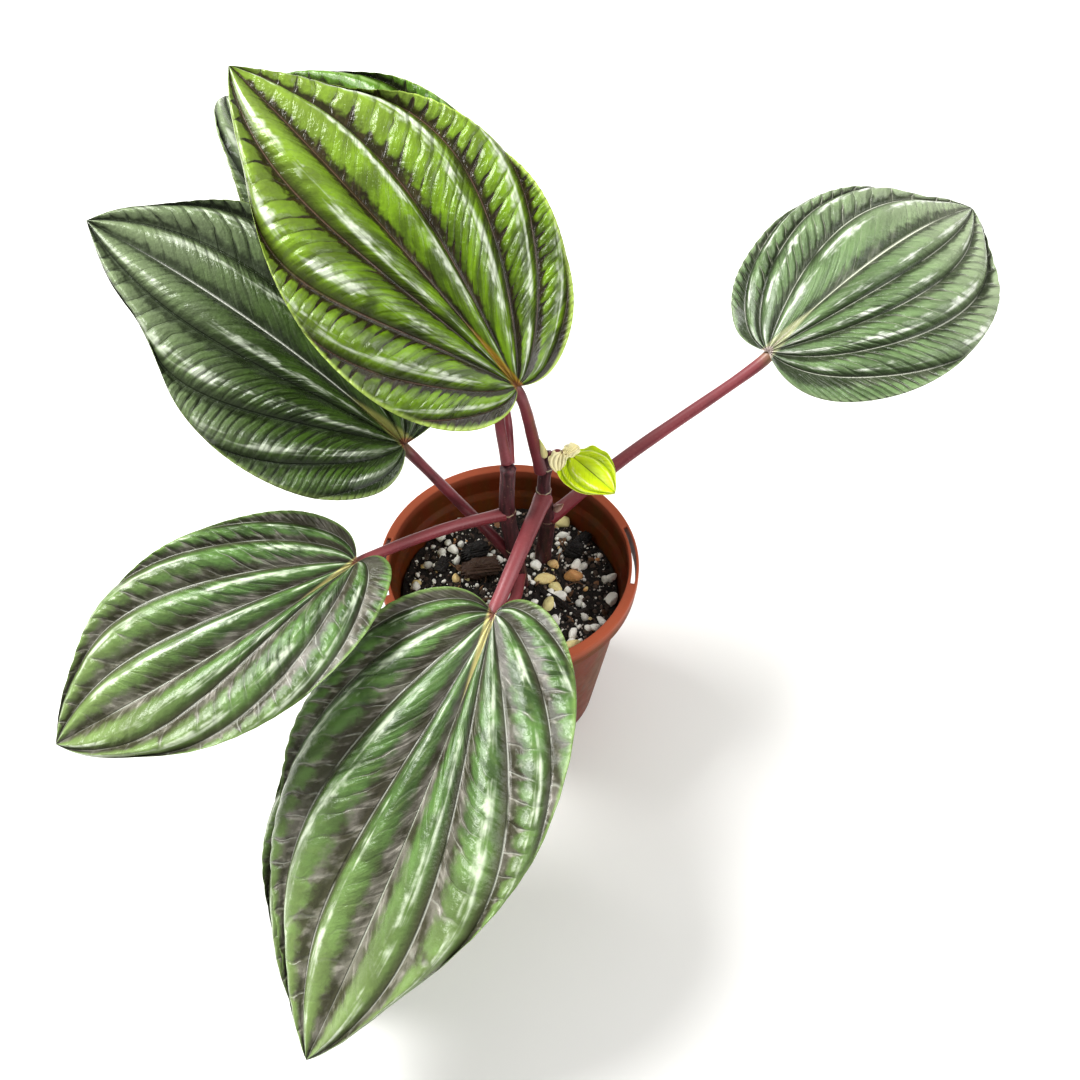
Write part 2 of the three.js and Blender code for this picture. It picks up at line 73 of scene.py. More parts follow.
# Leaves, in millimetres and degrees. Base and tip are the ends of the midrib. Roll turns the upper
# face about the midrib, and twist turns it from base to tip. Arch and sweep bow the midrib. Each
# half has two control points of its margin's cubic curve, its fold and bend, its main veins, and a
# dent near the tip. A vein is its side place near the base and the s at which it leaves the blade.
# Pleat is a pleat's height over the width of its band, and ribs counts the cross veins of the inner band.

Half = namedtuple("Half", "lobe shoulder fold bend veins dent", defaults=(
    ((0.28, 1.6), (0.57, 0.9), (0.79, 0.65), (0.93, 0.42)), (0.88, 0.08, 0.1)))
Leaf = namedtuple("Leaf", "base tip roll arch sweep twist left right pleat look ribs", defaults=(
    0.24, "silver", 12))

LEAVES = {
    "top": Leaf(
        (6, -2, 208), (-92, 81, 292), -2, 0.06, -0.02, 26,
        Half((0.16, 0.17), (0.62, 0.38), 2, -19, ((0.27, 1.5), (0.52, 0.84), (0.77, 0.66), (0.91, 0.42))),
        Half((0.24, 0.19), (0.73, 0.58), -1, 9, ((0.28, 2), (0.6, 0.95), (0.78, 0.62), (0.94, 0.4)),
             (0.87, 0.05, 0.12)),
        0.28, "fresh", 20),
    "back": Leaf(
        (-3, 40, 200), (-88, 128, 259), -16, 0.13, 0, 0,
        Half((0.3, 0.18), (0.54, 0.58), 10, -8), Half((0.3, 0.18), (0.5, 0.58), 14, -4), 0.28, "middle", 17),
    "back_left": Leaf(
        (-58, 94, 148), (-119, 182, 220), 2, 0.1, 0, 0,
        Half((0.4, 0.18), (0.66, 0.62), 40, 6), Half((0.3, 0.18), (0.54, 0.58), 4, -8), 0.24, "dark"),
    "left": Leaf(
        (-39, 2, 175), (-159, 75, 233), -10, 0.01, 0.03, -4,
        Half((0.21, 0.23), (0.62, 0.37), 3, -18, ((0.3, 2.5), (0.57, 0.95), (0.79, 0.65), (0.93, 0.4)),
             (0.85, 0.08, 0.18)),
        Half((0.49, 0.15), (0.46, 0.72), 8, -7), 0.24, "dark", 21),
    "front_left": Leaf(
        (-60, -34, 147), (-176, -90, 115), -11, 0.07, -0.05, 7,
        Half((0.05, 0.31), (0.56, 0.48), 5, -10, ((0.28, 1.25), (0.66, 0.92), (0.85, 0.6))),
        Half((0.27, 0.24), (0.62, 0.75), 12, -1, ((0.27, 1.7), (0.54, 1.02), (0.77, 0.7), (0.9, 0.5)))),
    "front": Leaf(
        (-7, -52, 133), (-85, -191, 45), 5, 0.06, -0.04, 31,
        Half((0.1, 0.22), (0.57, 0.37), 10, -4, ((0.3, 1.4), (0.59, 0.85), (0.81, 0.68), (0.93, 0.4)),
             (0.9, 0.1, 0.17)),
        Half((0.25, 0.2), (0.66, 0.64), 7, -31, ((0.21, 1.5), (0.53, 1), (0.79, 0.7), (0.92, 0.45)))),
    "low": Leaf(
        (-35, -66, 85), (-99, -158, 13), 0, 0.06, 0, 0,
        Half((0.28, 0.18), (0.42, 0.58), 4, -8), Half((0.38, 0.18), (0.54, 0.58), -2, -4)),
    "right": Leaf(
        (117, 60, 162), (222, 132, 179), 4, 0.14, 0.02, 6,
        Half((0.39, 0.18), (0.55, 0.68), -5, 2, ((0.46, 1.6), (0.74, 0.85), (0.89, 0.6)), (0.88, 0.06, 0.33)),
        Half((0.45, 0.16), (0.69, 0.68), -9, -11, ((0.22, 4), (0.42, 3), (0.64, 1.1), (0.81, 0.6)),
             (0.9, 0.08, 0.15)), look="satin", ribs=15),
    "young": Leaf(
        (27, 6, 160), (43, -17, 162), 7, 0.06, 0.02, 5,
        Half((0.52, 0.14), (0.51, 0.71), 3, -9, ((0.5, 1.3), (0.8, 0.8))),
        Half((0.47, 0.14), (0.54, 0.74), -1, -15, ((0.62, 1.3), (0.85, 0.8))), 0.24, "young", 9),
}

# Two cream stipules curl at the foot of the youngest leaf.

FRILLS = {
    "frill_upper": Leaf(
        (25, 5.5, 161), (30.5, 9.5, 161.5), 10, 0.12, 0.1, 0,
        Half((0.75, 0.3), (0.8, 0.75), 20, 40, ((0.3, 1.4), (0.6, 1), (0.85, 0.7))),
        Half((0.5, 0.3), (0.6, 0.8), -10, 50, ((0.4, 1.4), (0.8, 0.9))), 0.5, "cream", 5),
    "frill_lower": Leaf(
        (23.5, 6.5, 160.5), (21.5, -2.5, 159), 0, 0.15, 0.1, 0,
        Half((0.5, 0.3), (0.6, 0.8), 0, 30, ((0.4, 1.4), (0.8, 0.9))),
        Half((0.5, 0.3), (0.5, 0.8), 10, -40, ((0.4, 1.4), (0.8, 0.9))), 0.5, "cream", 5),
}

# What all blades share. Thickness, wave, gap and the length at which ribs have their full height are in mm.

BLADE_THICKNESS = 1.1
MARGIN_THINNING = 0.55
MARGIN_WAVE = 0.8
MARGIN_WAVES = 4
LAST_PLACE = 1.12
BROADEST_BAND = 0.34
BEND_WIDTH = 0.34
VEIN_DRIFT = 2.5
PLEAT_SKEW = 1.25
PLEAT_ROUNDNESS = 0.8
RIB_SWEEP = 1.05
RIB_GROWTH = 0.2
RIB_LENGTH = 150
BASE_GAP = 0.3

# How finely the pieces are made: points round a body, and rows along it.

STALK_SIDES, STALK_ROWS = 28, 90
CANE_SIDES, CANE_ROWS = 32, 200
BUD_SIDES, BUD_ROWS = 24, 40
ROOT_SIDES, ROOT_ROWS = 7, 24
POT_SIDES = 200
SOIL_SIDES, SOIL_ROWS = 240, 110
FRILL_ROWS, FRILL_COLUMNS = 40, 5

# Canes and stalks, in millimetres: the points that each route passes, and its radius. A cane's nodes are
# shares of its length, and thin is the share of its radius that is left at its top. A bud has its foot, its
# direction, its length and its radius.

Cane = namedtuple("Cane", "points radius nodes thin")
CANES = {
    "left": Cane(((5, 2, 62), (4.5, 1, 82), (2.6, 0, 108), (0.2, -1, 135), (1.4, -2, 164)),
                 4, (0.46, 0.71, 1), 0.75),
    "right": Cane(((15.6, 17.6, 62), (16, 17, 82), (18, 14, 111), (16.2, 10.6, 134), (17, 9.6, 149),
                   (18.9, 9, 159)), 4, (0.5, 0.74, 0.9), 0.62),
}
Petiole = namedtuple("Petiole", "start via radius")
PETIOLES = {
    "top": Petiole((15.2, 8.5, 149), ((12.4, 6, 168),), 2.5),
    "back": Petiole((1, -1, 165), ((-1, 3, 182), (-2, 20, 196)), 2),
    "back_left": Petiole((2, -1.5, 165), ((1.8, 13, 177), (-6, 50, 178), (-30, 78, 166)), 1.8),
    "left": Petiole((3, 0.5, 100), ((-15, 1, 132),), 2.5),
    "front_left": Petiole((0.4, -1, 134), ((-27, -16, 143),), 2.5),
    "front": Petiole((16, 9, 131), ((5, -22, 135),), 3.4),
    "low": Petiole((4.6, 0, 90), ((1, -22, 99), (-16, -46, 107), (-27, -58, 102)), 2.4),
    "right": Petiole((18.5, 14, 111), ((52, 30, 130),), 2.9),
    "young": Petiole((18.9, 9, 158), ((22, 8, 160.5),), 1.2),
}
Bud = namedtuple("Bud", "at lean length radius")
BUDS = {
    "bud_side": Bud((21.2, 11.5, 119.5), (0.35, -0.45, 1), 11.5, 1.7),
    "sheath_top": Bud((16.6, 6.4, 159.5), (-0.16, -0.12, 1), 14, 1.6),
}


# Small helpers for arrays and meshes.

def unit(vectors):
    """Each vector divided by its own length."""
    return vectors / np.linalg.norm(vectors, axis=-1, keepdims=True)


def dot(a, b):
    """The product of two arrays of vectors, kept as one more column."""
    return np.sum(a * b, axis=-1, keepdims=True)


def smoothstep(value, low, high):
    """0 below low, 1 above high, and a smooth rise of 3k*k - 2k*k*k between them."""
    k = np.clip((value - low) / (high - low), 0, 1)
    return k * k * (3 - 2 * k)


def grid_faces(rows, columns, closed=False, start=0):
    """Four-sided faces of a grid of points, row by row. A closed grid joins its last column to its first."""
    across = np.arange(columns if closed else columns - 1)
    first = np.arange(rows - 1)[:, None] * columns
    a = (first + across).ravel()
    b = (first + (across + 1) % columns).ravel()
    return np.stack([a, b, b + columns, a + columns], axis=1) + start


def make_object(name, points, faces, values=(), slots=None, sharp=False):
    """A mesh object from points in millimetres, lists of faces, and a value at each point for each name."""
    mesh = bpy.data.meshes.new(name)
    mesh.from_pydata((np.asarray(points) * MM).tolist(), [], [f for group in faces for f in group.tolist()])
    for key, numbers in dict(values).items():
        layer = mesh.attributes.new(key, "FLOAT", "POINT")
        layer.data.foreach_set("value", np.asarray(numbers, dtype=np.float32).ravel())
    if slots is not None:
        mesh.polygons.foreach_set("material_index", np.asarray(slots, dtype=np.int32))
    mesh.polygons.foreach_set("use_smooth", np.full(len(mesh.polygons), not sharp))
    mesh.update()
    piece = bpy.data.objects.new(name, mesh)
    bpy.context.scene.collection.objects.link(piece)
    return piece


def finish_piece(piece, materials, slot, *nodes):
    """The piece gets its materials, rides on the plant's one body and stands for its solid."""
    for material in materials:
        piece.data.materials.append(material)
    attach(piece, "root")
    if nodes:
        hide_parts(*nodes)


# Blades. The flat blade is laid along an arched midrib, and each half is folded and bent.

def leaf_length(leaf):
    """The flat blade's length: the chord, lengthened by the bow of the midrib."""
    reach = np.linalg.norm(np.subtract(leaf.tip, leaf.base))
    return reach * (1 + (8 / 3) * (leaf.arch ** 2 + leaf.sweep ** 2))


def flat_place(leaf, half, s, out):
    """Across and along, in mm. With out = 1 it is the margin, one cubic curve from the base over the half's
    lobe and shoulder points to the tip. Smaller values draw the same curve in towards the midrib."""
    first = 3 * s * (1 - s) ** 2
    second = 3 * s * s * (1 - s)
    place, span, depth = half.dent
    dent = depth * np.exp(-((s - place) / span) ** 2) * out ** 2
    across = (first * half.lobe[0] + second * half.shoulder[0]) * out * (1 - dent)
    lobe_run = (1 - out ** 2) / 3 - half.lobe[1] * out ** 2
    shoulder_run = 2 * (1 - out ** 2) / 3 + half.shoulder[1] * out ** 2
    length = leaf_length(leaf)
    return across * length, (first * lobe_run + second * shoulder_run + s ** 3) * length


def blade_points(leaf, sign, s, out, height):
    """Points of one half, sign -1 or 1. The midrib is a parabola over its chord, its facing normal turns
    with the twist, and a section across is an arc that starts at the fold and gains the bend. Each point
    is lifted by height along the surface's own normal."""
    half = leaf.left if sign < 0 else leaf.right
    x, y = flat_place(leaf, half, s, out)
    length = leaf_length(leaf)
    base = np.array(leaf.base, float)
    chord = np.subtract(leaf.tip, leaf.base).astype(float)
    reach = np.linalg.norm(chord)
    run = unit(chord)
    level = unit(np.cross(run, UP))
    plain = np.cross(level, run)
    roll = np.radians(leaf.roll)
    facing = plain * np.cos(roll) + np.cross(run, plain) * np.sin(roll)
    bow = reach * (leaf.arch * facing + leaf.sweep * np.cross(run, facing))
    k = (y / length)[..., None]
    spine = base + chord * k + bow * 4 * k * (1 - k)
    along = unit(chord + bow * 4 * (1 - 2 * k))
    normal = unit(facing - along * dot(along, facing))
    twist = np.radians(leaf.twist) * (k - 0.5)
    normal = normal * np.cos(twist) + np.cross(along, normal) * np.sin(twist)
    across = np.cross(along, normal)
    width = BEND_WIDTH * length
    fold, bend = np.radians(half.fold), np.radians(half.bend)
    lean = (fold + bend * x / width)[..., None]
    outward = width / bend * (np.sin(lean) - np.sin(fold))
    rise = width / bend * (np.cos(fold) - np.cos(lean))
    lifted = normal * np.cos(lean) - across * sign * np.sin(lean)
    return spine + across * sign * outward + normal * rise + lifted * height[..., None]


def vein_places(half, s):
    """The side places of the midrib and the main veins at each s, and a last place past the margin. A vein
    drifts outwards as 1 - (1 - start)(1 - (s / end)^2.5)."""
    starts, ends = np.array(half.veins).T
    veins = 1 - (1 - starts) * (1 - (s / ends) ** VEIN_DRIFT)
    last = np.maximum(LAST_PLACE, veins[:, -1:] + 0.1)
    return np.hstack([np.zeros_like(s), veins, last])


def half_grid(leaf, half, rows, per_band):
    """A grid over one half: its columns follow the veins, and those past the margin crowd just inside it."""
    s = np.linspace(0, 1, rows + 1)[1:-1, None]
    places = vein_places(half, s)
    bands = places.shape[1] - 1
    steps = np.arange(1, bands * per_band + 1) / per_band
    band = np.minimum(steps.astype(int), bands - 1)
    edge = places.copy()
    edge[:, -1] = 1
    out = edge[:, band] * (1 - (steps - band)) + edge[:, band + 1] * (steps - band)
    crowd = 0.3 / per_band / bands * np.arange(len(steps))[::-1]
    out = np.minimum(out, 1 - crowd)
    out[:, -1] = 1
    return s, out, places


def band_values(places, out):
    """The vein coordinate of each point, whole at the veins, and the width of the band that it lies in."""
    low, high = places[:, None, :-1], places[:, None, 1:]
    share = np.clip((out[..., None] - low) / np.maximum(high - low, 1e-6), 0, 1)
    inside = (out[..., None] > low) & (out[..., None] <= high)
    width = np.sum(np.where(inside, high - low, 0), axis=-1)
    return np.sum(share, axis=-1), width


def rib_coordinate(leaf, s, gone, band, sign):
    """Whole at each cross vein. One that leaves its main vein at place k has 1 - s shrink from 1 - k by the
    exponential of the side place gone since then, so all of them bend towards the tip. They stand closer in
    the outer bands, and each band has its own slow shift of their spacing."""
    root = 1 - (1 - s) * np.exp(RIB_SWEEP * gone)
    shift = 0.6 * np.sin(9 * root + 2.3 * band * sign + 1.1 * sign)
    return leaf.ribs * (1 + RIB_GROWTH * band) * root + shift + 0.37 * band


def relief(leaf, half, sign, s, out, places, rib_height):
    """Height over the plain blade in mm: rounded pleats between the main veins, low waves at the margin, and
    a narrow groove along each cross vein, deeper in the outer bands."""
    vein, width = band_values(places, out)
    band = np.floor(vein)
    ones = np.ones_like(s)
    half_width = flat_place(leaf, half, s, ones)[0]
    fraction = vein - np.floor(vein)
    ridge = np.abs(np.sin(np.pi * fraction ** PLEAT_SKEW)) ** PLEAT_ROUNDNESS
    pleat = leaf.pleat * np.minimum(width, BROADEST_BAND) * half_width * ridge
    wave = MARGIN_WAVE * np.sin(2 * np.pi * MARGIN_WAVES * s) * out ** 4 * (1 - s)
    gone = out - np.take_along_axis(places, band.astype(int).clip(0, places.shape[1] - 1), axis=1)
    rib = np.abs(np.sin(np.pi * rib_coordinate(leaf, s, gone, band, sign))) ** 0.7
    room = np.clip(half_width * width / 8, 0, 1) * smoothstep(s, 0.05, 0.35) * np.sin(np.pi * fraction) ** 0.5
    return pleat + wave + rib_height * (0.15 + out ** 3) * (rib - 0.75) * room, vein


def face_ribs(leaf, sign, s, out, places):
    """The rib coordinate at the inner and outer side of each face, both counted from the vein inside it."""
    edges = np.hstack([np.zeros_like(s), out])
    sides = edges[:, :-1], edges[:, 1:]
    middle = (sides[0] + sides[1]) / 2
    band = np.sum(places[:, None, 1:-1] < middle[..., None], axis=-1)
    inner = np.take_along_axis(places, band, axis=1)
    return [rib_coordinate(leaf, s, side - inner, band, sign) for side in sides]


def blade_piece(name, leaf, rows, per_band, rib_height):
    """A blade: an upper and a lower sheet on the same grid, thinner towards the margin, joined along it."""
    rib = rib_height * leaf_length(leaf) / RIB_LENGTH
    grids, ribs = [], []
    for sign, half in ((-1, leaf.left), (1, leaf.right)):
        s, out, places = half_grid(leaf, half, rows, per_band)
        height, vein = relief(leaf, half, sign, s, out, places, rib)
        order = slice(None, None, sign)
        grids.append([sign, s, out[:, order], height[:, order], vein[:, order]])
        ribs.append([side[:, order] for side in face_ribs(leaf, sign, s, out, places)[::sign]])
    left, right = (np.hstack([ribs[0][i], ribs[1][i]]) for i in (0, 1))
    s = grids[0][1]
    middle = np.zeros_like(s)
    strips = [grids[0], [1, s, middle, middle, middle], grids[1]]
    edges = np.hstack([g[2] for g in strips])
    thickness = BLADE_THICKNESS * (1 - MARGIN_THINNING * smoothstep(edges, 0.8, 1))
    columns = thickness.shape[1]
    poles = np.array([0.0, 1.0])[:, None]
    sheets = []
    for face in (0.5, -0.5):
        parts, used = [], 0
        for sign, _, out, height, _ in strips:
            lift = height + face * thickness[:, used:used + out.shape[1]]
            used += out.shape[1]
            parts.append(blade_points(leaf, sign, s * np.ones_like(out), out, lift))
        ends = blade_points(leaf, 1, poles, 0 * poles, 0 * poles + face * BLADE_THICKNESS / 2)
        sheets.append(np.vstack([ends[0], np.concatenate(parts, axis=1).reshape(-1, 3), ends[1]]))
    count = len(sheets[0])
    body = grid_faces(rows - 1, columns, start=1)
    row = np.arange(columns - 1)
    last = count - 1 - columns
    base_fan = np.stack([np.zeros_like(row), row + 2, row + 1], axis=1)
    tip_fan = np.stack([np.full_like(row, count - 1), last + row, last + row + 1], axis=1)
    inner = 1 + np.arange(rows - 1) * columns
    edge = np.concatenate([[0], inner + columns - 1, [count - 1], inner[::-1]])
    after = np.roll(edge, -1)
    rim = np.stack([edge, edge + count, after + count, after], axis=1)
    upper = [body, base_fan, tip_fan]
    faces = upper + [group[:, ::-1] + count for group in upper] + [rim]
    under = np.concatenate([np.full(len(f), i in (3, 4, 5)) for i, f in enumerate(faces)])
    body_ribs = np.stack([left[:-1], right[:-1], right[1:], left[1:]], axis=-1).reshape(-1, 4)
    base_ribs = np.stack([left[0], right[0], left[0]], axis=-1)
    tip_ribs = np.stack([left[-1], left[-1], right[-1]], axis=-1)
    upper_ribs = [body_ribs, base_ribs, tip_ribs]
    face_values = upper_ribs + [values[:, ::-1] for values in upper_ribs] + [np.zeros(rim.shape)]
    around = np.hstack([g[0] * g[4] for g in strips]).ravel()
    lengthwise = (s * np.ones_like(thickness)).ravel()
    padded = {
        "across": np.concatenate([[0], around, [0]]),
        "along": np.concatenate([[0], lengthwise, [1]]),
        "edge": np.concatenate([[0], edges.ravel(), [0]]),
    }
    values = {key: np.tile(numbers, 2) for key, numbers in padded.items()}
    piece = make_object(f"leaf_{name}", np.vstack(sheets), faces, values, under)
    layer = piece.data.attributes.new("rib", "FLOAT", "CORNER")
    layer.data.foreach_set("value", np.concatenate([v.ravel() for v in face_values]).astype(np.float32))
    return piece


# Stalks, canes, buds and the pot: rings of points joined into closed bodies.

def smooth_route(points, count):
    """Evenly spaced points on a centripetal Catmull-Rom curve: between two points a cubic whose end slopes
    come from the neighbours, each gap weighted by the root of its length."""
    known = np.array(points, float)
    known = np.vstack([2 * known[0] - known[1], known, 2 * known[-1] - known[-2]])
    gaps = np.sqrt(np.linalg.norm(np.diff(known, axis=0), axis=1))[:, None]
    p0, p1, p2, p3 = known[:-3], known[1:-2], known[2:-1], known[3:]
    g0, g1, g2 = gaps[:-2], gaps[1:-1], gaps[2:]
    leave = ((p1 - p0) / g0 - (p2 - p0) / (g0 + g1) + (p2 - p1) / g1) * g1
    reach = ((p2 - p1) / g1 - (p3 - p1) / (g1 + g2) + (p3 - p2) / g2) * g1
    u = np.linspace(0, 1, 40)[None, :, None]
    p1, p2, leave, reach = (part[:, None] for part in (p1, p2, leave, reach))
    square, cube = 3 * (p2 - p1) - 2 * leave - reach, 2 * (p1 - p2) + leave + reach
    fine = (p1 + leave * u + square * u ** 2 + cube * u ** 3).reshape(-1, 3)
    run = np.concatenate([[0], np.cumsum(np.linalg.norm(np.diff(fine, axis=0), axis=1))])
    wanted = np.linspace(0, run[-1], count)
    return np.stack([np.interp(wanted, run, fine[:, axis]) for axis in range(3)], axis=1)


def rings_along(centres, radii, around, flat_top=0.0):
    """Circles of the given radii, square to the route, with their first point's side kept level. flat_top
    pulls the upper side in by that share. Also returns each point's height on its circle, -1 to 1."""
    tangent = unit(np.gradient(centres, axis=0))
    chord = centres[-1] - centres[0]
    level = np.cross(chord, UP)
    level = level if np.linalg.norm(level) > 0.3 * np.linalg.norm(chord) else np.array([1.0, 0, 0])
    side = unit(level - tangent * dot(tangent, level))
    top = np.cross(side, tangent)
    turn = np.linspace(0, -2 * np.pi, around, endpoint=False)
    shape = 1 - flat_top * smoothstep(np.sin(turn), 0.3, 1)
    reach = np.asarray(radii)[:, None] * shape
    spokes = side[:, None] * np.cos(turn)[None, :, None] + top[:, None] * np.sin(turn)[None, :, None]
    height = np.tile(np.sin(turn), (len(centres), 1))
    return centres[:, None] + spokes * reach[..., None], height


def closed_body(name, rings, values=(), sharp=False):
    """Rings of equal count joined side to side, with a point at the middle of each end."""
    count, around = rings.shape[:2]
    middles = rings[[0, -1]].mean(axis=1)
    points = np.vstack([rings.reshape(-1, 3), middles])
    step = np.arange(around)
    after = (step + 1) % around
    first = np.full(around, count * around)
    last = (count - 1) * around
    start_cap = np.stack([first, after, step], axis=1)
    end_cap = np.stack([first + 1, last + step, last + after], axis=1)
    full = {}
    for key, numbers in dict(values).items():
        numbers = np.asarray(numbers, float)
        full[key] = np.concatenate([numbers.ravel(), numbers[[0, -1]].mean(axis=1)])
    faces = [grid_faces(count, around, closed=True), start_cap, end_cap]
    return make_object(name, points, faces, full, sharp=sharp)


def petiole_route(name, count):
    """A petiole runs from its cane through its middle points to a seat under the base of its blade."""
    stalk, leaf = PETIOLES[name], LEAVES[name]
    s = np.array([[0.02], [0.0], [0.04]])
    flat, lifted = (blade_points(leaf, 1, s, 0 * s, height + 0 * s)[:, 0] for height in (0.0, 1.0))
    normal = lifted[0] - flat[0]
    along = unit(flat[2] - flat[1])
    drop = BLADE_THICKNESS / 2 + BASE_GAP + stalk.radius * 0.75
    end = np.array(leaf.base) - normal * drop + along * stalk.radius * 1.3
    seat = np.array(leaf.base) - normal * drop * 1.15 - along * stalk.radius * 1.5
    return smooth_route([stalk.start, *stalk.via, seat, end], count)


def petiole_piece(name):
    """A petiole: thicker at its cane, with a shallow channel along its upper side, flared under its blade."""
    t = np.linspace(0, 1, STALK_ROWS)
    radius = PETIOLES[name].radius * (1.12 - 0.3 * t + 0.12 * smoothstep(t, 0.8, 0.95))
    radius = radius * (1 + 0.1 * np.exp(-(t / 0.06) ** 2)) * (1 + 0.012 * np.sin(31 * t))
    radius = radius * np.sqrt(np.clip((1 - t) / 0.03, 0.05, 1))
    rings, height = rings_along(petiole_route(name, len(t)), radius, STALK_SIDES, flat_top=0.14)
    values = {"top": height, "along": np.tile(t[:, None], (1, STALK_SIDES))}
    return closed_body(f"stalk_{name}", rings, values)


def cane_piece(name):
    """A cane: it thins upwards, with a swollen ring at each node and a fine groove just above the ring."""
    cane = CANES[name]
    t = np.linspace(0, 1, CANE_ROWS)
    nodes = np.array(cane.nodes)[:, None]
    swell = np.minimum(np.exp(-((t - nodes) / 0.025) ** 2).sum(axis=0), 1)
    groove = np.exp(-((t - nodes - 0.022) / 0.006) ** 2).sum(axis=0)
    radius = cane.radius * (1 - (1 - cane.thin) * t) + 0.5 * swell - 0.3 * groove
    radius = radius * np.sqrt(np.clip((1 - t) / 0.012, 0.04, 1))
    rings, height = rings_along(smooth_route(cane.points, len(t)), radius, CANE_SIDES)
    turn = np.linspace(0, 2 * np.pi, CANE_SIDES, endpoint=False)
    centre = rings.mean(axis=1, keepdims=True)
    rings = centre + (rings - centre) * (1 + 0.035 * np.cos(9 * turn))[None, :, None]
    scar = np.exp(-((t - nodes - 0.012) / 0.0055) ** 2).sum(axis=0)
    values = {"ring": np.tile(scar[:, None], (1, CANE_SIDES)), "top": height}
    return closed_body(f"cane_skin_{name}", rings, values)


def bud_piece(name, bud):
    """A pointed drop: its radius follows sin(pi * sqrt(k)) from foot to tip, and its tip nods a little."""
    k = np.linspace(0, 1, BUD_ROWS)
    radius = bud.radius * (0.7 * np.sin(np.pi * np.sqrt(k)) + 0.3 * (1 - k)) * (k > 0) + 0.05
    axis = unit(np.array(bud.lean, float))
    bow = np.array([0.0, 0.0, -0.08]) * bud.length * k[:, None] ** 2
    centres = np.array(bud.at) + axis * bud.length * k[:, None] + bow
    rings, height = rings_along(centres, radius, BUD_SIDES)
    return closed_body(f"{name}_skin", rings, {"along": np.tile(k[:, None], (1, BUD_SIDES)), "top": height})


# The pot's sizes, in millimetres, the same as the solid's. The rim's come from the solid's box.

RIM_RADIUS, _, RIM_TOP = np.array(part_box("pot")[1]) / MM
BASE_RADIUS = 39.6
SHOULDER_RADIUS = 51.9
SHOULDER_HEIGHT = 83.6
BAND_RADIUS = 53.0
WALL = 1.3
FLOOR = 1.4
SKIRT_DEPTH = 9.0
SLOT_LENGTH = 32.0
SLOT_WIDTH = 1.9
DRAIN_HOLES = 8
DRAIN_RADIUS = 4.0
DRAIN_CIRCLE = 27.0
SOIL_HEIGHT = 79.0


def rounded_profile(profile, radius, steps=4):
    """Each corner gives way to a quadratic curve that starts and ends radius away from it, or nearer where
    the next corner is close."""
    corners = np.array(profile, float)
    before, here, after = corners[:-2], corners[1:-1], corners[2:]
    back = before - here
    ahead = after - here
    reach_back = np.minimum(radius, 0.45 * np.linalg.norm(back, axis=1))[:, None]
    reach_ahead = np.minimum(radius, 0.45 * np.linalg.norm(ahead, axis=1))[:, None]
    start = here + unit(back) * reach_back
    end = here + unit(ahead) * reach_ahead
    u = np.linspace(0, 1, steps)[None, :, None]
    curve = start[:, None] * (1 - u) ** 2 + here[:, None] * 2 * u * (1 - u) + end[:, None] * u ** 2
    return np.vstack([corners[:1], curve.reshape(-1, 2), corners[-1:]])


def pot_profile():
    """The pot's section: up the outside from the base, over the rolled rim and down the inside."""
    flange, bead = RIM_TOP - 1.2, RIM_TOP - 5
    skirt = RIM_TOP - SKIRT_DEPTH
    outside = [(0.01, 0), (BASE_RADIUS - 1, 0), (BASE_RADIUS, 1.2), (SHOULDER_RADIUS, SHOULDER_HEIGHT),
               (BAND_RADIUS + WALL, SHOULDER_HEIGHT + 2.6), (BAND_RADIUS + WALL, flange)]
    lip = [(RIM_RADIUS - 1.1, flange), (RIM_RADIUS - 1.4, skirt), (RIM_RADIUS - 0.4, skirt),
           (RIM_RADIUS - 0.3, bead - 0.4), (RIM_RADIUS, bead), (RIM_RADIUS, RIM_TOP - 0.4),
           (RIM_RADIUS - 0.4, RIM_TOP)]
    inside = [(BAND_RADIUS + 0.5, RIM_TOP), (BAND_RADIUS, RIM_TOP - 0.4),
              (BAND_RADIUS, SHOULDER_HEIGHT + 3.2), (SHOULDER_RADIUS - WALL, SHOULDER_HEIGHT + 0.8),
              (BASE_RADIUS - WALL, FLOOR), (0.01, FLOOR)]
    return rounded_profile(outside + lip + inside, 0.5)


def turned_rings(profile, segments):
    """The profile carried round the vertical axis, as one ring of points for each of its places."""
    turn = np.linspace(0, 2 * np.pi, segments, endpoint=False)
    r, z = profile[:, :1], profile[:, 1:]
    return np.stack([r * np.cos(turn), r * np.sin(turn), z + 0 * turn], axis=-1)


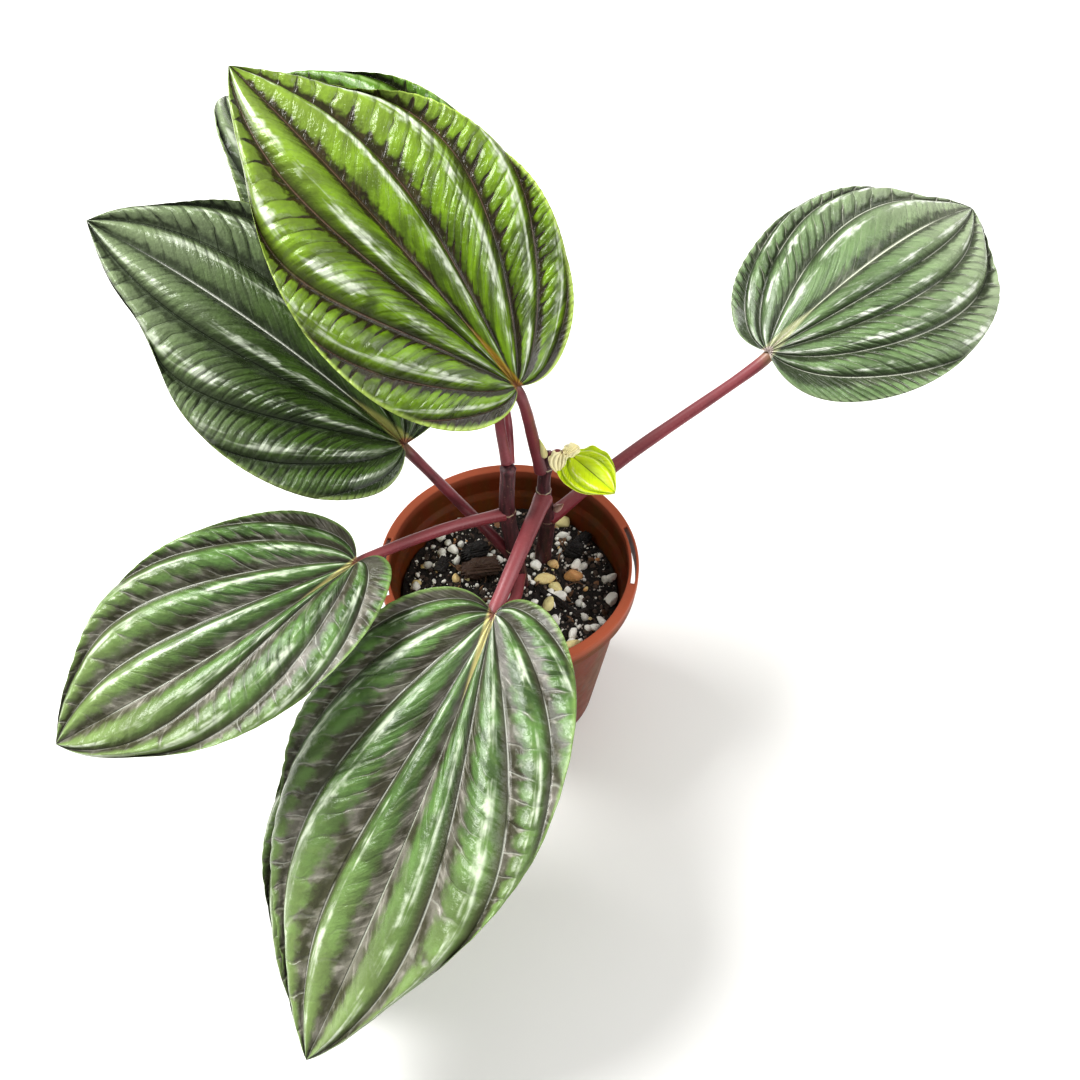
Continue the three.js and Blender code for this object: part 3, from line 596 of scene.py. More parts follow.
def pot_piece():
    """The pot: its section turned round the axis, less two arc slots in the flange and the drain holes."""
    pot = closed_body("pot_shell", turned_rings(pot_profile(), POT_SIDES))
    cutters = []
    middle = (BAND_RADIUS + WALL + RIM_RADIUS - 1.1) / 2
    corners = np.array([(-1, -1), (1, -1), (1, 1), (-1, 1)]) * (SLOT_WIDTH / 2, 2)
    for facing in (0, np.pi):
        turn = facing + np.linspace(-1, 1, 30)[:, None] * SLOT_LENGTH / middle / 2
        r = middle + corners[:, 0]
        rings = np.stack([r * np.cos(turn), r * np.sin(turn), RIM_TOP + corners[:, 1] + 0 * turn], axis=-1)
        cutters.append(closed_body("slot_cutter", rings[:, ::-1], sharp=True))
    for i in range(DRAIN_HOLES):
        turn = 2 * np.pi * (i + 0.5) / DRAIN_HOLES
        drill = turned_rings(np.array([(DRAIN_RADIUS, -2.0), (DRAIN_RADIUS, 5.0)]), 40)
        shift = (DRAIN_CIRCLE * np.cos(turn), DRAIN_CIRCLE * np.sin(turn), 0)
        cutters.append(closed_body("drain_cutter", drill + shift, sharp=True))
    for cutter in cutters:
        cut = pot.modifiers.new("cut", "BOOLEAN")
        cut.operation, cut.solver, cut.object = "DIFFERENCE", "EXACT", cutter
    finished = bpy.data.meshes.new_from_object(pot.evaluated_get(bpy.context.evaluated_depsgraph_get()))
    pot.modifiers.clear()
    pot.data = finished
    for cutter in cutters:
        bpy.data.objects.remove(cutter)
    return pot


# The soil: a heaped bed, and the crumbs, perlite, granules, bark and roots on it.

def soil_height(x, y):
    """The bed's height in mm: lower behind on the right, with heaps made of two products of sines."""
    heaps = 1.1 * np.sin(x / 7.3 + 1) * np.cos(y / 8.9) + 0.6 * np.sin((x + y) / 4.1)
    return SOIL_HEIGHT - 0.03 * x - 0.045 * y + heaps


def rumple(x, y, size, seed):
    """Twelve sine waves of random direction and phase, summed to about -1 to 1, folds of the given size."""
    random = np.random.default_rng(seed)
    turn, phase = random.uniform(0, 2 * np.pi, (2, 12))
    pitch = random.uniform(0.7, 1.6, 12) * 2 * np.pi / size
    waves = np.sin(pitch * (x[..., None] * np.cos(turn) + y[..., None] * np.sin(turn)) + phase)
    return waves.sum(axis=-1) / 5


def soil_radius():
    """The radius of the pot's inside at the soil's top, less the soil's clearance."""
    slope = (SHOULDER_RADIUS - BASE_RADIUS) / SHOULDER_HEIGHT
    return BASE_RADIUS - WALL - 1.5 * BASE_GAP + slope * (SOIL_HEIGHT - 4 - FLOOR)


def soil_piece():
    """The bed: a plug with a tapering side, its top a polar grid lifted to the heaps and rumpled finely."""
    top = soil_radius()
    foot = BASE_RADIUS - WALL - 1.5 * BASE_GAP
    low = FLOOR + BASE_GAP
    r = np.concatenate([[1, foot, top], np.linspace(top * 0.995, 1, SOIL_ROWS)])[:, None]
    turn = np.linspace(0, 2 * np.pi, SOIL_SIDES, endpoint=False)
    x, y = r * np.cos(turn), r * np.sin(turn)
    z = soil_height(x, y) + 0.7 * rumple(x, y, 5, 3) + 0.35 * rumple(x, y, 2.2, 4)
    z[:2] = low
    return closed_body("soil_bed", np.stack([x, y, z], axis=-1))


def random_turns(random, count):
    """Rotation matrices from random unit quaternions."""
    w, x, y, z = unit(random.normal(size=(count, 4))).T
    return np.stack([
        1 - 2 * (y * y + z * z), 2 * (x * y - w * z), 2 * (x * z + w * y),
        2 * (x * y + w * z), 1 - 2 * (x * x + z * z), 2 * (y * z - w * x),
        2 * (x * z - w * y), 2 * (y * z + w * x), 1 - 2 * (x * x + y * y),
    ], axis=1).reshape(count, 3, 3)


def pebble_shape(level):
    """The points and faces of an icosphere of radius 1."""
    shape = bmesh.new()
    bmesh.ops.create_icosphere(shape, subdivisions=level, radius=1)
    points = np.array([v.co[:] for v in shape.verts])
    faces = np.array([[v.index for v in f.verts] for f in shape.faces])
    shape.free()
    return points, faces


def stone_radii(random, count, points, boxy=False):
    """The radius of each of count stones along each point of a unit sphere. Planes cut a stone down, nine at
    random or the six of a box, and the power mean of their cuts rounds its edges."""
    if boxy:
        axes = np.vstack([np.eye(3), -np.eye(3)])
        normals = unit(axes + 0.14 * random.normal(size=(count, 6, 3)))
    else:
        normals = unit(random.normal(size=(count, 9, 3)))
    distance = random.uniform(0.68, 1.0, (count, normals.shape[1], 1))
    pull = np.clip(np.einsum("nkj,vj->nkv", normals, points) / distance, 0, None)
    return (np.sum(pull ** 7, axis=1) + 0.3) ** (-1 / 7)


def loose_bodies(name, bodies, places, tones, faces, sharp):
    """Many bodies in one object, each moved to its place, with its own tone at all its points."""
    count, size = bodies.shape[:2]
    every = (faces[None] + (np.arange(count) * size)[:, None, None]).reshape(-1, 3)
    points = (bodies + places[:, None]).reshape(-1, 3)
    return make_object(name, points, [every], {"tone": np.repeat(tones, size)}, sharp=sharp)


def scatter(name, count, low, high, stretch, roughness, sink, seed, level=1):
    """Grains on the bed: rounded stones, each with its own size, turn and lumps. stretch gives the ranges of
    the three half-sizes, and sink is how deep the middle lies, in half-sizes."""
    random = np.random.default_rng(seed)
    points, faces = pebble_shape(level)
    size = low + (high - low) * random.random(count) ** 2.6
    half = size[:, None] / 2 * random.uniform(*np.array(stretch, float).T, (count, 3))
    lumps = 1 + roughness * random.normal(size=(count, len(points))).clip(-1.6, 1.6)
    body = points[None] * (lumps * stone_radii(random, count, points))[..., None] * half[:, None]
    body = np.einsum("nij,nvj->nvi", random_turns(random, count), body)
    away = np.sqrt(random.random(count)) * (soil_radius() - half.max(axis=1) - 0.4)
    turn = random.uniform(0, 2 * np.pi, count)
    x, y = away * np.cos(turn), away * np.sin(turn)
    place = np.stack([x, y, soil_height(x, y) - sink * half.min(axis=1)], axis=1)
    return loose_bodies(name, body, place, random.random(count), faces, level < 2)


# Stones that stand out on the bed: x, y, heading in degrees, length, width, height and tone.

STONES = {
    "white_stones": (
        (26, 29.3, 10, 5.2, 3.6, 3.6, 1), (22.6, -5.2, -24, 7, 4.4, 3.6, 1), (45.7, -9.4, 60, 6.4, 4.4, 4, 1),
        (26.5, -28.1, 62, 6.4, 3.2, 3.4, 1), (40.2, -20.1, -41, 5, 3.4, 3.2, 0.9),
        (36.7, -25, 0, 4.6, 3, 3, 1),
        (46.2, 3.6, 25, 5, 3.2, 3.2, 1), (30.9, 12.3, 70, 5.4, 4, 4, 0.8), (-21.9, 42, -30, 5.2, 3, 3.2, 1),
        (-31.9, 31.5, 20, 4.4, 3.4, 3.2, 0.9), (-26.1, 23.7, -50, 5.6, 3.2, 3.4, 0.9),
        (12.9, 12.8, 15, 5, 4, 3.6, 0.6),
    ),
    "tan_stones": (
        (15, 4.6, 14, 9.2, 4.6, 4.4, 0.62), (20.9, 0.2, -20, 5, 4.4, 4.2, 0.8),
        (28.9, 6.1, 8, 7.2, 5.6, 4.8, 0.12), (-24.9, 6.4, 80, 4.4, 3, 3.2, 0.5),
        (26, 37.5, -8, 8, 5, 5, 0.95), (26.3, -33.6, 15, 6.6, 4, 4, 0.75),
        (20.5, 12.9, -30, 4.6, 3.6, 3.2, 0.4), (17.3, -10.8, 70, 6.4, 4.2, 3.8, 0.9),
        (19, 26, 0, 4, 3, 3, 0.1),
    ),
    "bark_blocks": (
        (-12.6, 11.6, 12, 19, 9, 6.5, 0.8), (-15.4, 21, 25, 12, 7, 5.5, 0),
        (22.4, -10.1, -43, 29, 3.2, 3, 0.1),
        (31, 20, -20, 9, 8, 6, 0), (-31, 14, 60, 9, 5, 4, 0.05), (34.8, 26.1, 40, 10, 5, 4, 0),
        (31, -16, 20, 8, 4, 3, 0.2),
    ),
}


def laid_stones(name, seed):
    """The stones of one kind, each turned to its heading, its middle 0.28 of its height above the bed. The
    bark is boxy and rougher. Sine waves groove them all."""
    random = np.random.default_rng(seed)
    x, y, heading, length, width, height, tone = np.array(STONES[name], float).T
    points, faces = pebble_shape(4)
    boxy = name == "bark_blocks"
    radius = stone_radii(random, len(x), points, boxy)
    lumps = 0.07 if boxy else 0.01
    grooves = 0.09 if boxy else 0.02
    ahead, aside, up = points.T
    radius = radius * (1 + lumps * rumple(7 * ahead + 2 * up, 7 * aside, 3, 5))
    radius = radius * (1 + grooves * np.sin(21 * aside + 9 * up + 5 * ahead))
    body = points * radius[..., None] * np.stack([length, width, height], axis=1)[:, None] / 1.7
    turn = np.radians(heading)[:, None]
    ahead, aside, up = np.moveaxis(body, -1, 0)
    turned = [ahead * np.cos(turn) - aside * np.sin(turn), ahead * np.sin(turn) + aside * np.cos(turn), up]
    place = np.stack([x, y, soil_height(x, y) + 0.28 * height], axis=1)
    return loose_bodies(name, np.stack(turned, axis=-1), place, tone, faces, boxy)


def root_piece(name, count, radius, seed):
    """Thin roots and twigs: short arcs that lie on the bed, bowed sideways, their ends dipping into it."""
    random = np.random.default_rng(seed)
    bodies, tones, faces, used = [], [], [], 0
    t = np.linspace(0, 1, ROOT_ROWS)
    for _ in range(count):
        away, turn = np.sqrt(random.random()) * 34, random.uniform(0, 2 * np.pi)
        heading, length, bow = random.uniform(0, 2 * np.pi), random.uniform(9, 24), random.uniform(-4, 4)
        run = (t - 0.5) * length
        drift = bow * (1 - (2 * t - 1) ** 2) + 0.4 * np.sin(9 * t + turn)
        x = away * np.cos(turn) + run * np.cos(heading) - drift * np.sin(heading)
        y = away * np.sin(turn) + run * np.sin(heading) + drift * np.cos(heading)
        z = soil_height(x, y) + 1.3 * np.sin(np.pi * t) - 0.4
        rings, _ = rings_along(np.stack([x, y, z], axis=1), radius * (1 - 0.5 * t), ROOT_SIDES)
        bodies.append(rings.reshape(-1, 3))
        tones.append(np.full(rings.size // 3, random.random()))
        cap = np.arange(ROOT_SIDES)[None] + used
        faces.append(grid_faces(ROOT_ROWS, ROOT_SIDES, closed=True, start=used))
        faces.extend([cap[:, ::-1], cap + ROOT_SIDES * (ROOT_ROWS - 1)])
        used += rings.size // 3
    return make_object(name, np.vstack(bodies), faces, {"tone": np.concatenate(tones)})


# Materials. A given number is set on a socket, and a given amount or socket is linked to it.

class Amount:
    """A number that changes over the surface. Each sum, product or power of it is a Math node."""

    def __init__(self, wires, socket):
        self.wires, self.socket = wires, socket

    def __add__(self, other):
        return self.wires.math("ADD", self, other)

    def __sub__(self, other):
        return self.wires.math("SUBTRACT", self, other)

    def __rsub__(self, other):
        return self.wires.math("SUBTRACT", other, self)

    def __mul__(self, other):
        return self.wires.math("MULTIPLY", self, other)

    def __pow__(self, other):
        return self.wires.math("POWER", self, other)

    def __abs__(self):
        return self.wires.math("ABSOLUTE", self)


class Wires:
    """Adds nodes to one tree and joins them."""

    def __init__(self, tree):
        self.tree = tree

    def feed(self, socket, value):
        """The socket takes a link from an amount or another socket, or else a plain value."""
        source = value.socket if isinstance(value, Amount) else value
        if isinstance(source, bpy.types.NodeSocket):
            self.tree.links.new(source, socket)
        elif source is not None:
            socket.default_value = (*source, 1) if socket.type == "RGBA" and len(source) == 3 else source

    def add(self, kind, *values, **settings):
        """A node with its settings, its first inputs fed in order."""
        node = self.tree.nodes.new(kind)
        for key, value in settings.items():
            setattr(node, key, value)
        for socket, value in zip(node.inputs, values):
            self.feed(socket, value)
        return node

    def math(self, operation, a, b=None):
        """One Math node."""
        return Amount(self, self.add("ShaderNodeMath", a, b, operation=operation).outputs[0])

    def rise(self, value, low, high):
        """0 below low and 1 above high, smooth between; the other way round where low is the larger."""
        node = self.add("ShaderNodeMapRange", value, low, high, 0.0, 1.0, interpolation_type="SMOOTHSTEP")
        return Amount(self, node.outputs[0])

    def layers(self, colour, *coats):
        """The colour under coats laid one over another, each given as its share and its colour."""
        for share, coat in coats:
            node = self.add("ShaderNodeMix", share, data_type="RGBA")
            self.feed(node.inputs[6], colour)
            self.feed(node.inputs[7], coat)
            colour = node.outputs[2]
        return colour

    def value_at(self, name):
        """A value that the mesh carries at its points or corners."""
        return Amount(self, self.add("ShaderNodeAttribute", attribute_name=name).outputs["Fac"])

    def place(self, stretch=(1, 1, 1)):
        """The place on the object, in metres, stretched."""
        where = self.add("ShaderNodeTexCoord").outputs["Object"]
        return self.add("ShaderNodeMapping", where, None, None, stretch).outputs[0]

    def noise(self, size, detail=3.0, stretch=(1, 1, 1), vector=None):
        """Cloudy noise from 0 to 1 with lumps of the given size in mm."""
        node = self.add("ShaderNodeTexNoise", vector or self.place(stretch), None, 1 / (size * MM), detail)
        return Amount(self, node.outputs[0])

    def streaks(self, *places):
        """Cloudy noise from 0 to 1 over three values instead of the place."""
        return self.noise(1000, vector=self.add("ShaderNodeCombineXYZ", *places).outputs[0])

    def marks(self, group, **given):
        """The outputs of a node group by name, with the given inputs set."""
        node = self.add("ShaderNodeGroup", node_tree=group)
        for key, value in given.items():
            self.feed(node.inputs[key], value)
        return {socket.name: Amount(self, socket) for socket in node.outputs}


def venation_group():
    """Masks of a blade's veins, from the values that its mesh carries, by the same formulas as its relief.
    share runs from 0 at a main vein to 1 at the next one outwards, and the teeth follow the cross veins.
    Reach is how far the dark zone outside a vein goes, in shares."""
    tree = bpy.data.node_groups.new("venation", "ShaderNodeTree")
    tree.interface.new_socket("Reach", in_out="INPUT", socket_type="NodeSocketFloat").default_value = 0.3
    w = Wires(tree)
    reach = Amount(w, w.add("NodeGroupInput").outputs["Reach"])
    across, along, edge, rib = (w.value_at(name) for name in ("across", "along", "edge", "rib"))
    place = abs(across)
    share = w.math("FRACT", place)
    near = w.math("MINIMUM", share, 1.0 - share)
    band = w.math("FLOOR", across)
    wrinkle = w.streaks(rib * 3.2, place * 3.2, band)
    patches = w.streaks(rib * 0.6, place * 1.3, band)
    swayed = rib + w.noise(11.0, 1.0) * 0.7
    from_rib = abs(w.math("FRACT", swayed + 0.5) - 0.5)
    grown = w.rise(along, 0.1, 0.38) * (w.rise(edge, 0.2, 0.75) * 0.78 + 0.22)
    fitful = w.rise(w.noise(9, 2.0), 0.4, 0.62)
    tooth = w.rise(from_rib, 0.24, 0.0) * grown * (fitful * 0.6 + 0.4)
    loose = share + (w.noise(3.2) - 0.5) * 0.3
    lobes = w.rise(along, 0.3, 0.08) * w.rise(edge, 0.3, 0.7)
    toothed = loose - tooth * 0.32 - lobes * 0.25
    vein = w.rise(near, 0.03, 0.008)
    line = w.rise(from_rib, 0.07, 0.01) * (w.rise(loose, 0.85, 0.45) * grown)
    puff = w.rise(from_rib, 0.0, 0.32) * grown * w.rise(near, 0.0, 0.2)
    ridge = w.math("SINE", share ** 1.3 * np.pi)
    fine = w.noise(1.5, 4.0) * 0.7 + wrinkle * 1.2
    masks = {
        "Vein": vein,
        "Spine": w.rise(place, 0.04, 0.012) * w.rise(along, 0.95, 0.6),
        "Zone": w.rise(toothed, reach + 0.04, reach * 0.4),
        # The crest highlight, painted; on the old leaves partly their own silvery band.
        "Sheen": w.rise(loose - tooth * 0.12, 0.56, 0.73) * w.rise(share, 0.85, 0.77),
        # Where painted shade darkens each pleat's valley, just inside its outer vein.
        "Valley": w.rise(share, 0.82, 0.97),
        "Rib": line * fitful,
        "Margin": w.rise(edge, 0.972, 0.995),
        # Fine streaks that roughen the bumps and, in the colour, place painted glints.
        "Wrinkle": w.rise(wrinkle, 0.5, 0.72),
        "Patches": w.rise(patches, 0.36, 0.62),
        # Streaks along the leaf that break up the painted highlight.
        "Flow": w.streaks(along * 7.0, across * 8.0, 0.0),
        "Height": fine + (ridge * 4.2 + puff * 1.8) - (line * 0.8 + vein),
    }
    for label in masks:
        tree.interface.new_socket(label, in_out="OUTPUT", socket_type="NodeSocketFloat")
    result = w.add("NodeGroupOutput")
    for label, mask in masks.items():
        w.feed(result.inputs[label], mask)
    return tree


def new_material(name, roughness, plain=()):
    """A material with a Principled surface, its plain values set on their own sockets."""
    material = bpy.data.materials.new(name)
    material.use_nodes = True
    surface = material.node_tree.nodes["Principled BSDF"]
    for key, value in {"Roughness": roughness, **dict(plain)}.items():
        surface.inputs[key].default_value = value
    return material, Wires(material.node_tree), surface.inputs


def bumped(wires, sockets, height, depth, strength):
    """The surface's normal follows the height, depth mm deep."""
    bump = wires.add("ShaderNodeBump", strength, depth * MM)
    wires.feed(bump.inputs["Height"], height)
    wires.feed(sockets["Normal"], bump.outputs[0])


# How each kind of leaf is coloured: the flank, the dark zone outside each vein, which also paints the
# shade in each pleat's valley; the flank sheen, fine pale glints of painted reflection on the flank; the
# painted highlight along each crest, on the old leaves partly their own silvery band; the vein lines, the
# midrib, the cross veins, the margin, the tip, the foot and the very base. Then the strength of the flank,
# flank sheen, highlight, line, spine and rib, how far the dark zone reaches towards the next vein, the share
# of the ground colour in its darker clouds, the roughness, the coat and the bumps' depth in mm.

Look = namedtuple("Look", "colours amounts reach cloud roughness coat depth")
LOOKS = {
    "silver": Look(
        "40362e d0c8c0 e0ead2 dadcd0 b8bca8 d6d8ca 7f9c56 92a666 eee49a a8584a",
        (0.85, 0.7, 0.75, 0.5, 0.5, 0.35), 0.36, 0.4, 0.28, 0.25, 0.45),
    # The leaf on the right: the strongest painted highlight on its crests.
    "satin": Look(
        "1c220e b8b8a4 f2f6ea dfe2d0 dfe2cc dadcc6 8c9e76 b8c2a4 c4c89a ecd2cc",
        (0.8, 0.3, 0.9, 0.7, 0.7, 0.5), 0.24, 0.6, 0.27, 0.25, 0.55),
    "dark": Look(
        "161e0b 86947a ccd4c0 202e14 eef0e4 101808 76884c a4b48c 8a8a4a 8a4a3a",
        (0.75, 0.3, 0.75, 0.6, 0.85, 0.6), 0.24, 0.5, 0.24, 0.3, 0.45),
    "middle": Look(
        "221c0a 6a6a4c a4be7c 2c2a14 a4ac88 1c1608 9ab45a 70982c cfd0a0 8a5a3a",
        (0.9, 0.2, 0.45, 0.6, 0.4, 0.8), 0.3, 0.5, 0.26, 0.25, 0.4),
    "fresh": Look(
        "1e0e04 6a4c3c eaf2de 7a5c50 5c4c30 24140a c0da68 95ae4a b8902c a86430",
        (0.93, 0.3, 0.8, 0.55, 0.6, 0.8), 0.17, 0.3, 0.18, 0.3, 0.4),
    "young": Look(
        "a0c000 e4f080 fbfcc8 5c6c08 50540c 748408 f2f67c e0f41a a8981c 8e5e20",
        (0.3, 0.2, 0.7, 0.85, 0.9, 0.6), 0.2, 0.84, 0.35, 0.1, 0.1),
    "cream": Look(
        "f2e8b0 fff8d8 fffbe4 9a7c4c 9a7c4c c8b478 fbf6d0 f6ecb8 c0903c 8a5a2a",
        (0.1, 0.2, 0.3, 0.6, 0.6, 0.2), 0.2, 0.97, 0.5, 0.0, 0.02),
}


def leaf_material(name, look, ground, venation):
    """The upper face: a green ground, a dark toothed zone outside each vein with fine painted glints on it,
    painted shade in each pleat's valley, a painted highlight along each crest, thin vein lines and cross
    veins, a pale margin and a cream foot."""
    finish = LOOKS[look]
    flank, flank_sheen, sheen, line, spine, rib, rim, tip, foot, root = map(rgb, finish.colours.split())
    dark, flank_sheen_share, glossy, lined, spined, ribbed = finish.amounts
    material, w, sockets = new_material(name, finish.roughness, {
        "Coat Weight": finish.coat, "Coat Roughness": 0.15, "Specular IOR Level": 0.35})
    marks = w.marks(venation, Reach=finish.reach)
    along, across, edge = (w.value_at(key) for key in ("along", "across", "edge"))
    patch = w.noise(15)
    # Painted reflection: pale glints on the dark flank, fainter near the base.
    shine = marks["Wrinkle"] * 0.6 + w.rise(patch, 0.45, 0.65) * 0.4
    shine = shine * (w.rise(along, 0.08, 0.4) * 0.7 + 0.3)
    sheened_flank = w.layers(flank, (shine * flank_sheen_share, flank_sheen))
    # Painted highlight along each crest, broken into streaks.
    gloss = marks["Sheen"] * w.rise(patch + marks["Flow"], 0.9, 1.16)
    patchy = w.rise(w.noise(18, 2.0), 0.35, 0.55)
    wedge = w.rise(edge * along * 45.0 + along * 5.0, 1.15, 0.7)
    thread = w.rise((abs(across) + along) * 8.0, 1.0, 0.5)
    w.feed(sockets["Base Color"], w.layers(
        shade(ground, finish.cloud),
        (w.rise(w.noise(13), 0.3, 0.55) * marks["Patches"], ground),
        # Lighter towards the tip: partly the tip's own paler green, partly painted sheen.
        (w.rise(along, 0.35, 1.0) * 0.6, tip),
        # Painted glints on the wrinkles.
        (marks["Wrinkle"] * 0.15, tip),
        # Painted shade in each pleat's valley, in the flank colour.
        (marks["Valley"] * 0.75, flank),
        # The dark zone outside each vein, with its painted glints.
        (marks["Zone"] * dark, sheened_flank),
        # The painted highlight, on the old leaves partly their silvery band.
        (gloss * glossy, sheen),
        (marks["Rib"] * ribbed, rib),
        (marks["Vein"] * patchy * lined, line),
        (marks["Spine"] * spined, spine),
        (marks["Margin"] * 0.8, rim),
        (wedge * 0.9, foot),
        (w.math("MAXIMUM", w.rise(along, 0.024, 0.012), thread) * 0.85, root),
    ))
    w.feed(sockets["Roughness"], w.noise(4) * 0.16 + (finish.roughness - 0.06))
    bumped(w, sockets, marks["Height"], finish.depth, 1.0)
    return material


def underside_material(name, colour, venation):
    """The lower face: matte grey-green, with paler raised veins."""
    material, w, sockets = new_material(name, 0.6)
    marks = w.marks(venation)
    w.feed(sockets["Base Color"], w.layers(
        shade(colour, 0.75),
        (w.noise(14), shade(colour, 1.2)),
        (marks["Rib"] * 0.3, shade(colour, 0.6)),
        (marks["Vein"] * 0.7, shade(colour, 1.9)),
    ))
    bumped(w, sockets, marks["Height"] * -1.0, 0.4, 0.6)
    return material


def stalk_material(name, colour, streak, dark):
    """A juicy stalk: a painted highlight along its top, against which its sides look deeper and duller, and
    fine lengthwise lines.
    """
    material, w, sockets = new_material(name, 0.42, {"Coat Weight": 0.08, "Coat Roughness": 0.25})
    fleck = w.noise(1.1)
    w.feed(sockets["Base Color"], w.layers(
        colour,
        (w.rise(w.noise(12), 0.3, 0.7), dark),
        # Painted highlight along the top of the stalk.
        (w.rise(w.value_at("top"), 0.2, 1.0) * 0.4, streak),
        (w.rise(fleck, 0.52, 0.75) * 0.25, streak),
        (w.rise(w.value_at("along"), 0.9, 1.0) * 0.4, rgb("c8c08a")),
    ))
    bumped(w, sockets, fleck, 0.15, 0.5)
    return material


def cane_material(name, colour, ring):
    """The cane's skin: dark, ribbed lengthwise, with lenticel flecks and a cream scar at each node."""
    material, w, sockets = new_material(name, 0.5)
    streaks = w.noise(1.2, 4.0, stretch=(1, 1, 0.12))
    scar = w.rise(w.value_at("ring"), 0.55, 0.95) * w.rise(w.noise(2.5), 0.3, 0.55)
    w.feed(sockets["Base Color"], w.layers(
        shade(colour, 0.5),
        (w.rise(streaks, 0.35, 0.7), shade(colour, 1.5)),
        (w.rise(w.noise(0.9, 2.0), 0.64, 0.72) * 0.5, rgb("9a7a62")),
        (scar * 0.85, ring),
    ))
    bumped(w, sockets, streaks, 0.3, 0.7)
    return material


def bud_material(name, colour, tip):
    """A papery sheath with lengthwise lines, tinted towards its tip."""
    material, w, sockets = new_material(name, 0.5)
    lines = w.noise(0.8, stretch=(1, 1, 0.15))
    w.feed(sockets["Base Color"], w.layers(
        colour,
        (w.rise(lines, 0.35, 0.7), shade(colour, 0.7)),
        (w.rise(w.value_at("along"), 0.5, 1.0), tip),
    ))
    bumped(w, sockets, lines, 0.12, 0.5)
    return material


def pot_material(colour, rim, streak):
    """Moulded plastic: faint flow streaks down the wall, paler at the top of the rim, and soil specks
    inside.
    """
    material, w, sockets = new_material("terracotta plastic", 0.42, {"Specular IOR Level": 0.15})
    x, y, z = (Amount(w, socket) for socket in w.add("ShaderNodeSeparateXYZ", w.place()).outputs)
    away = w.math("SQRT", x ** 2.0 + y ** 2.0)
    high = w.rise(z, (RIM_TOP - 6) * MM, (RIM_TOP - 1) * MM)
    wide = w.rise(away, (BAND_RADIUS - 1.5) * MM, BAND_RADIUS * MM)
    inside = w.rise(away, (BAND_RADIUS + 0.4) * MM, (BAND_RADIUS - 1) * MM)
    w.feed(sockets["Base Color"], w.layers(
        colour,
        (w.rise(w.noise(7, stretch=(1, 1, 0.06)), 0.34, 0.72) * 0.6, streak),
        (w.rise(w.noise(1.6, 4.0), 0.55, 0.75) * 0.12, rim),
        (high * wide * 0.75, rim),
        (w.rise(w.noise(3.5, 5.0), 0.5, 0.68) * inside * 0.45, rgb("4a3428")),
    ))
    w.feed(sockets["Roughness"], w.noise(5, 4.0) * 0.2 + 0.36)
    bumped(w, sockets, w.noise(0.7, 2.0), 0.05, 0.5)
    return material


def grain_material(name, dark, light, roughness=0.9, size=1.0, depth=0.3):
    """Rough grains: each takes its own tone from dark to light, mottled finely."""
    material, w, sockets = new_material(name, roughness)
    mottle = w.noise(size, 4.0)
    tone = w.value_at("tone") * 0.7 + mottle * 0.5
    w.feed(sockets["Base Color"], w.layers(dark, (w.rise(tone, 0.15, 0.95), light)))
    bumped(w, sockets, mottle, depth, 0.8)
    return material


def floor_material(colour):
    """A plain matt floor with the faintest cloudiness."""
    material, w, sockets = new_material("floor", 0.8)
    w.feed(sockets["Base Color"], w.layers(colour, (w.noise(60), shade(colour, 0.98))))
    return material


# Sizes and colours that can be changed in the sidebar.

def colour_setting(name, description, code):
    """A colour property with the given default."""
    return FloatVectorProperty(
        name=name, description=description, default=rgb(code), min=0, max=1, subtype="COLOR")


def count_setting(name, what, default):
    """A number of loose things on the bed."""
    return IntProperty(name=name, description=f"How many {what} lie on the bed", default=default, min=0)


class PotSettings(bpy.types.PropertyGroup):
    colour: colour_setting("Colour", "Plastic of the pot", "702e13")
    rim: colour_setting("Rim", "Paler plastic of the rim", "b05e44")
    streak: colour_setting("Streaks", "Darker streaks down the wall", "5a4016")


class SoilSettings(bpy.types.PropertyGroup):
    colour: colour_setting("Soil", "The bed and its crumbs", "1e1613")
    crumb_colour: colour_setting("Crumbs", "The lighter crumbs", "5a4a40")
    perlite_colour: colour_setting("Perlite", "White volcanic grains", "fcfaf2")
    granule_colour: colour_setting("Granules", "Tan granules", "f0e6a8")
    grit: count_setting("Grit", "small pale specks", 900)
    crumbs: count_setting("Crumbs", "dark crumbs", 1500)
    perlite: count_setting("Perlite", "white grains", 260)
    granules: count_setting("Granules", "tan granules", 60)
    bark: count_setting("Bark", "bark chips", 50)


class StalkSettings(bpy.types.PropertyGroup):
    petiole: colour_setting("Leaf stalk", "Skin of the leaf stalks", "802a34")
    petiole_dark: colour_setting("Leaf stalk, dark", "Darker stretches of the leaf stalks", "6c202a")
    # Painted highlight along the top of the stalks, which also colours their fine pale flecks.
    petiole_highlight_and_fleck: colour_setting("Streak", "Paler streak along the leaf stalks", "a86466")
    wine: colour_setting("Top stalk", "Skin of the highest leaf's stalk", "722530")
    cane: colour_setting("Cane", "Skin of the canes", "4c2228")
    ring: colour_setting("Node scar", "Cream ring at each node", "d8cba8")
    bud: colour_setting("Bud", "The pale pink bud", "dcb8a8")
    sheath: colour_setting("Sheath", "The pale yellow sheath", "dcd49a")


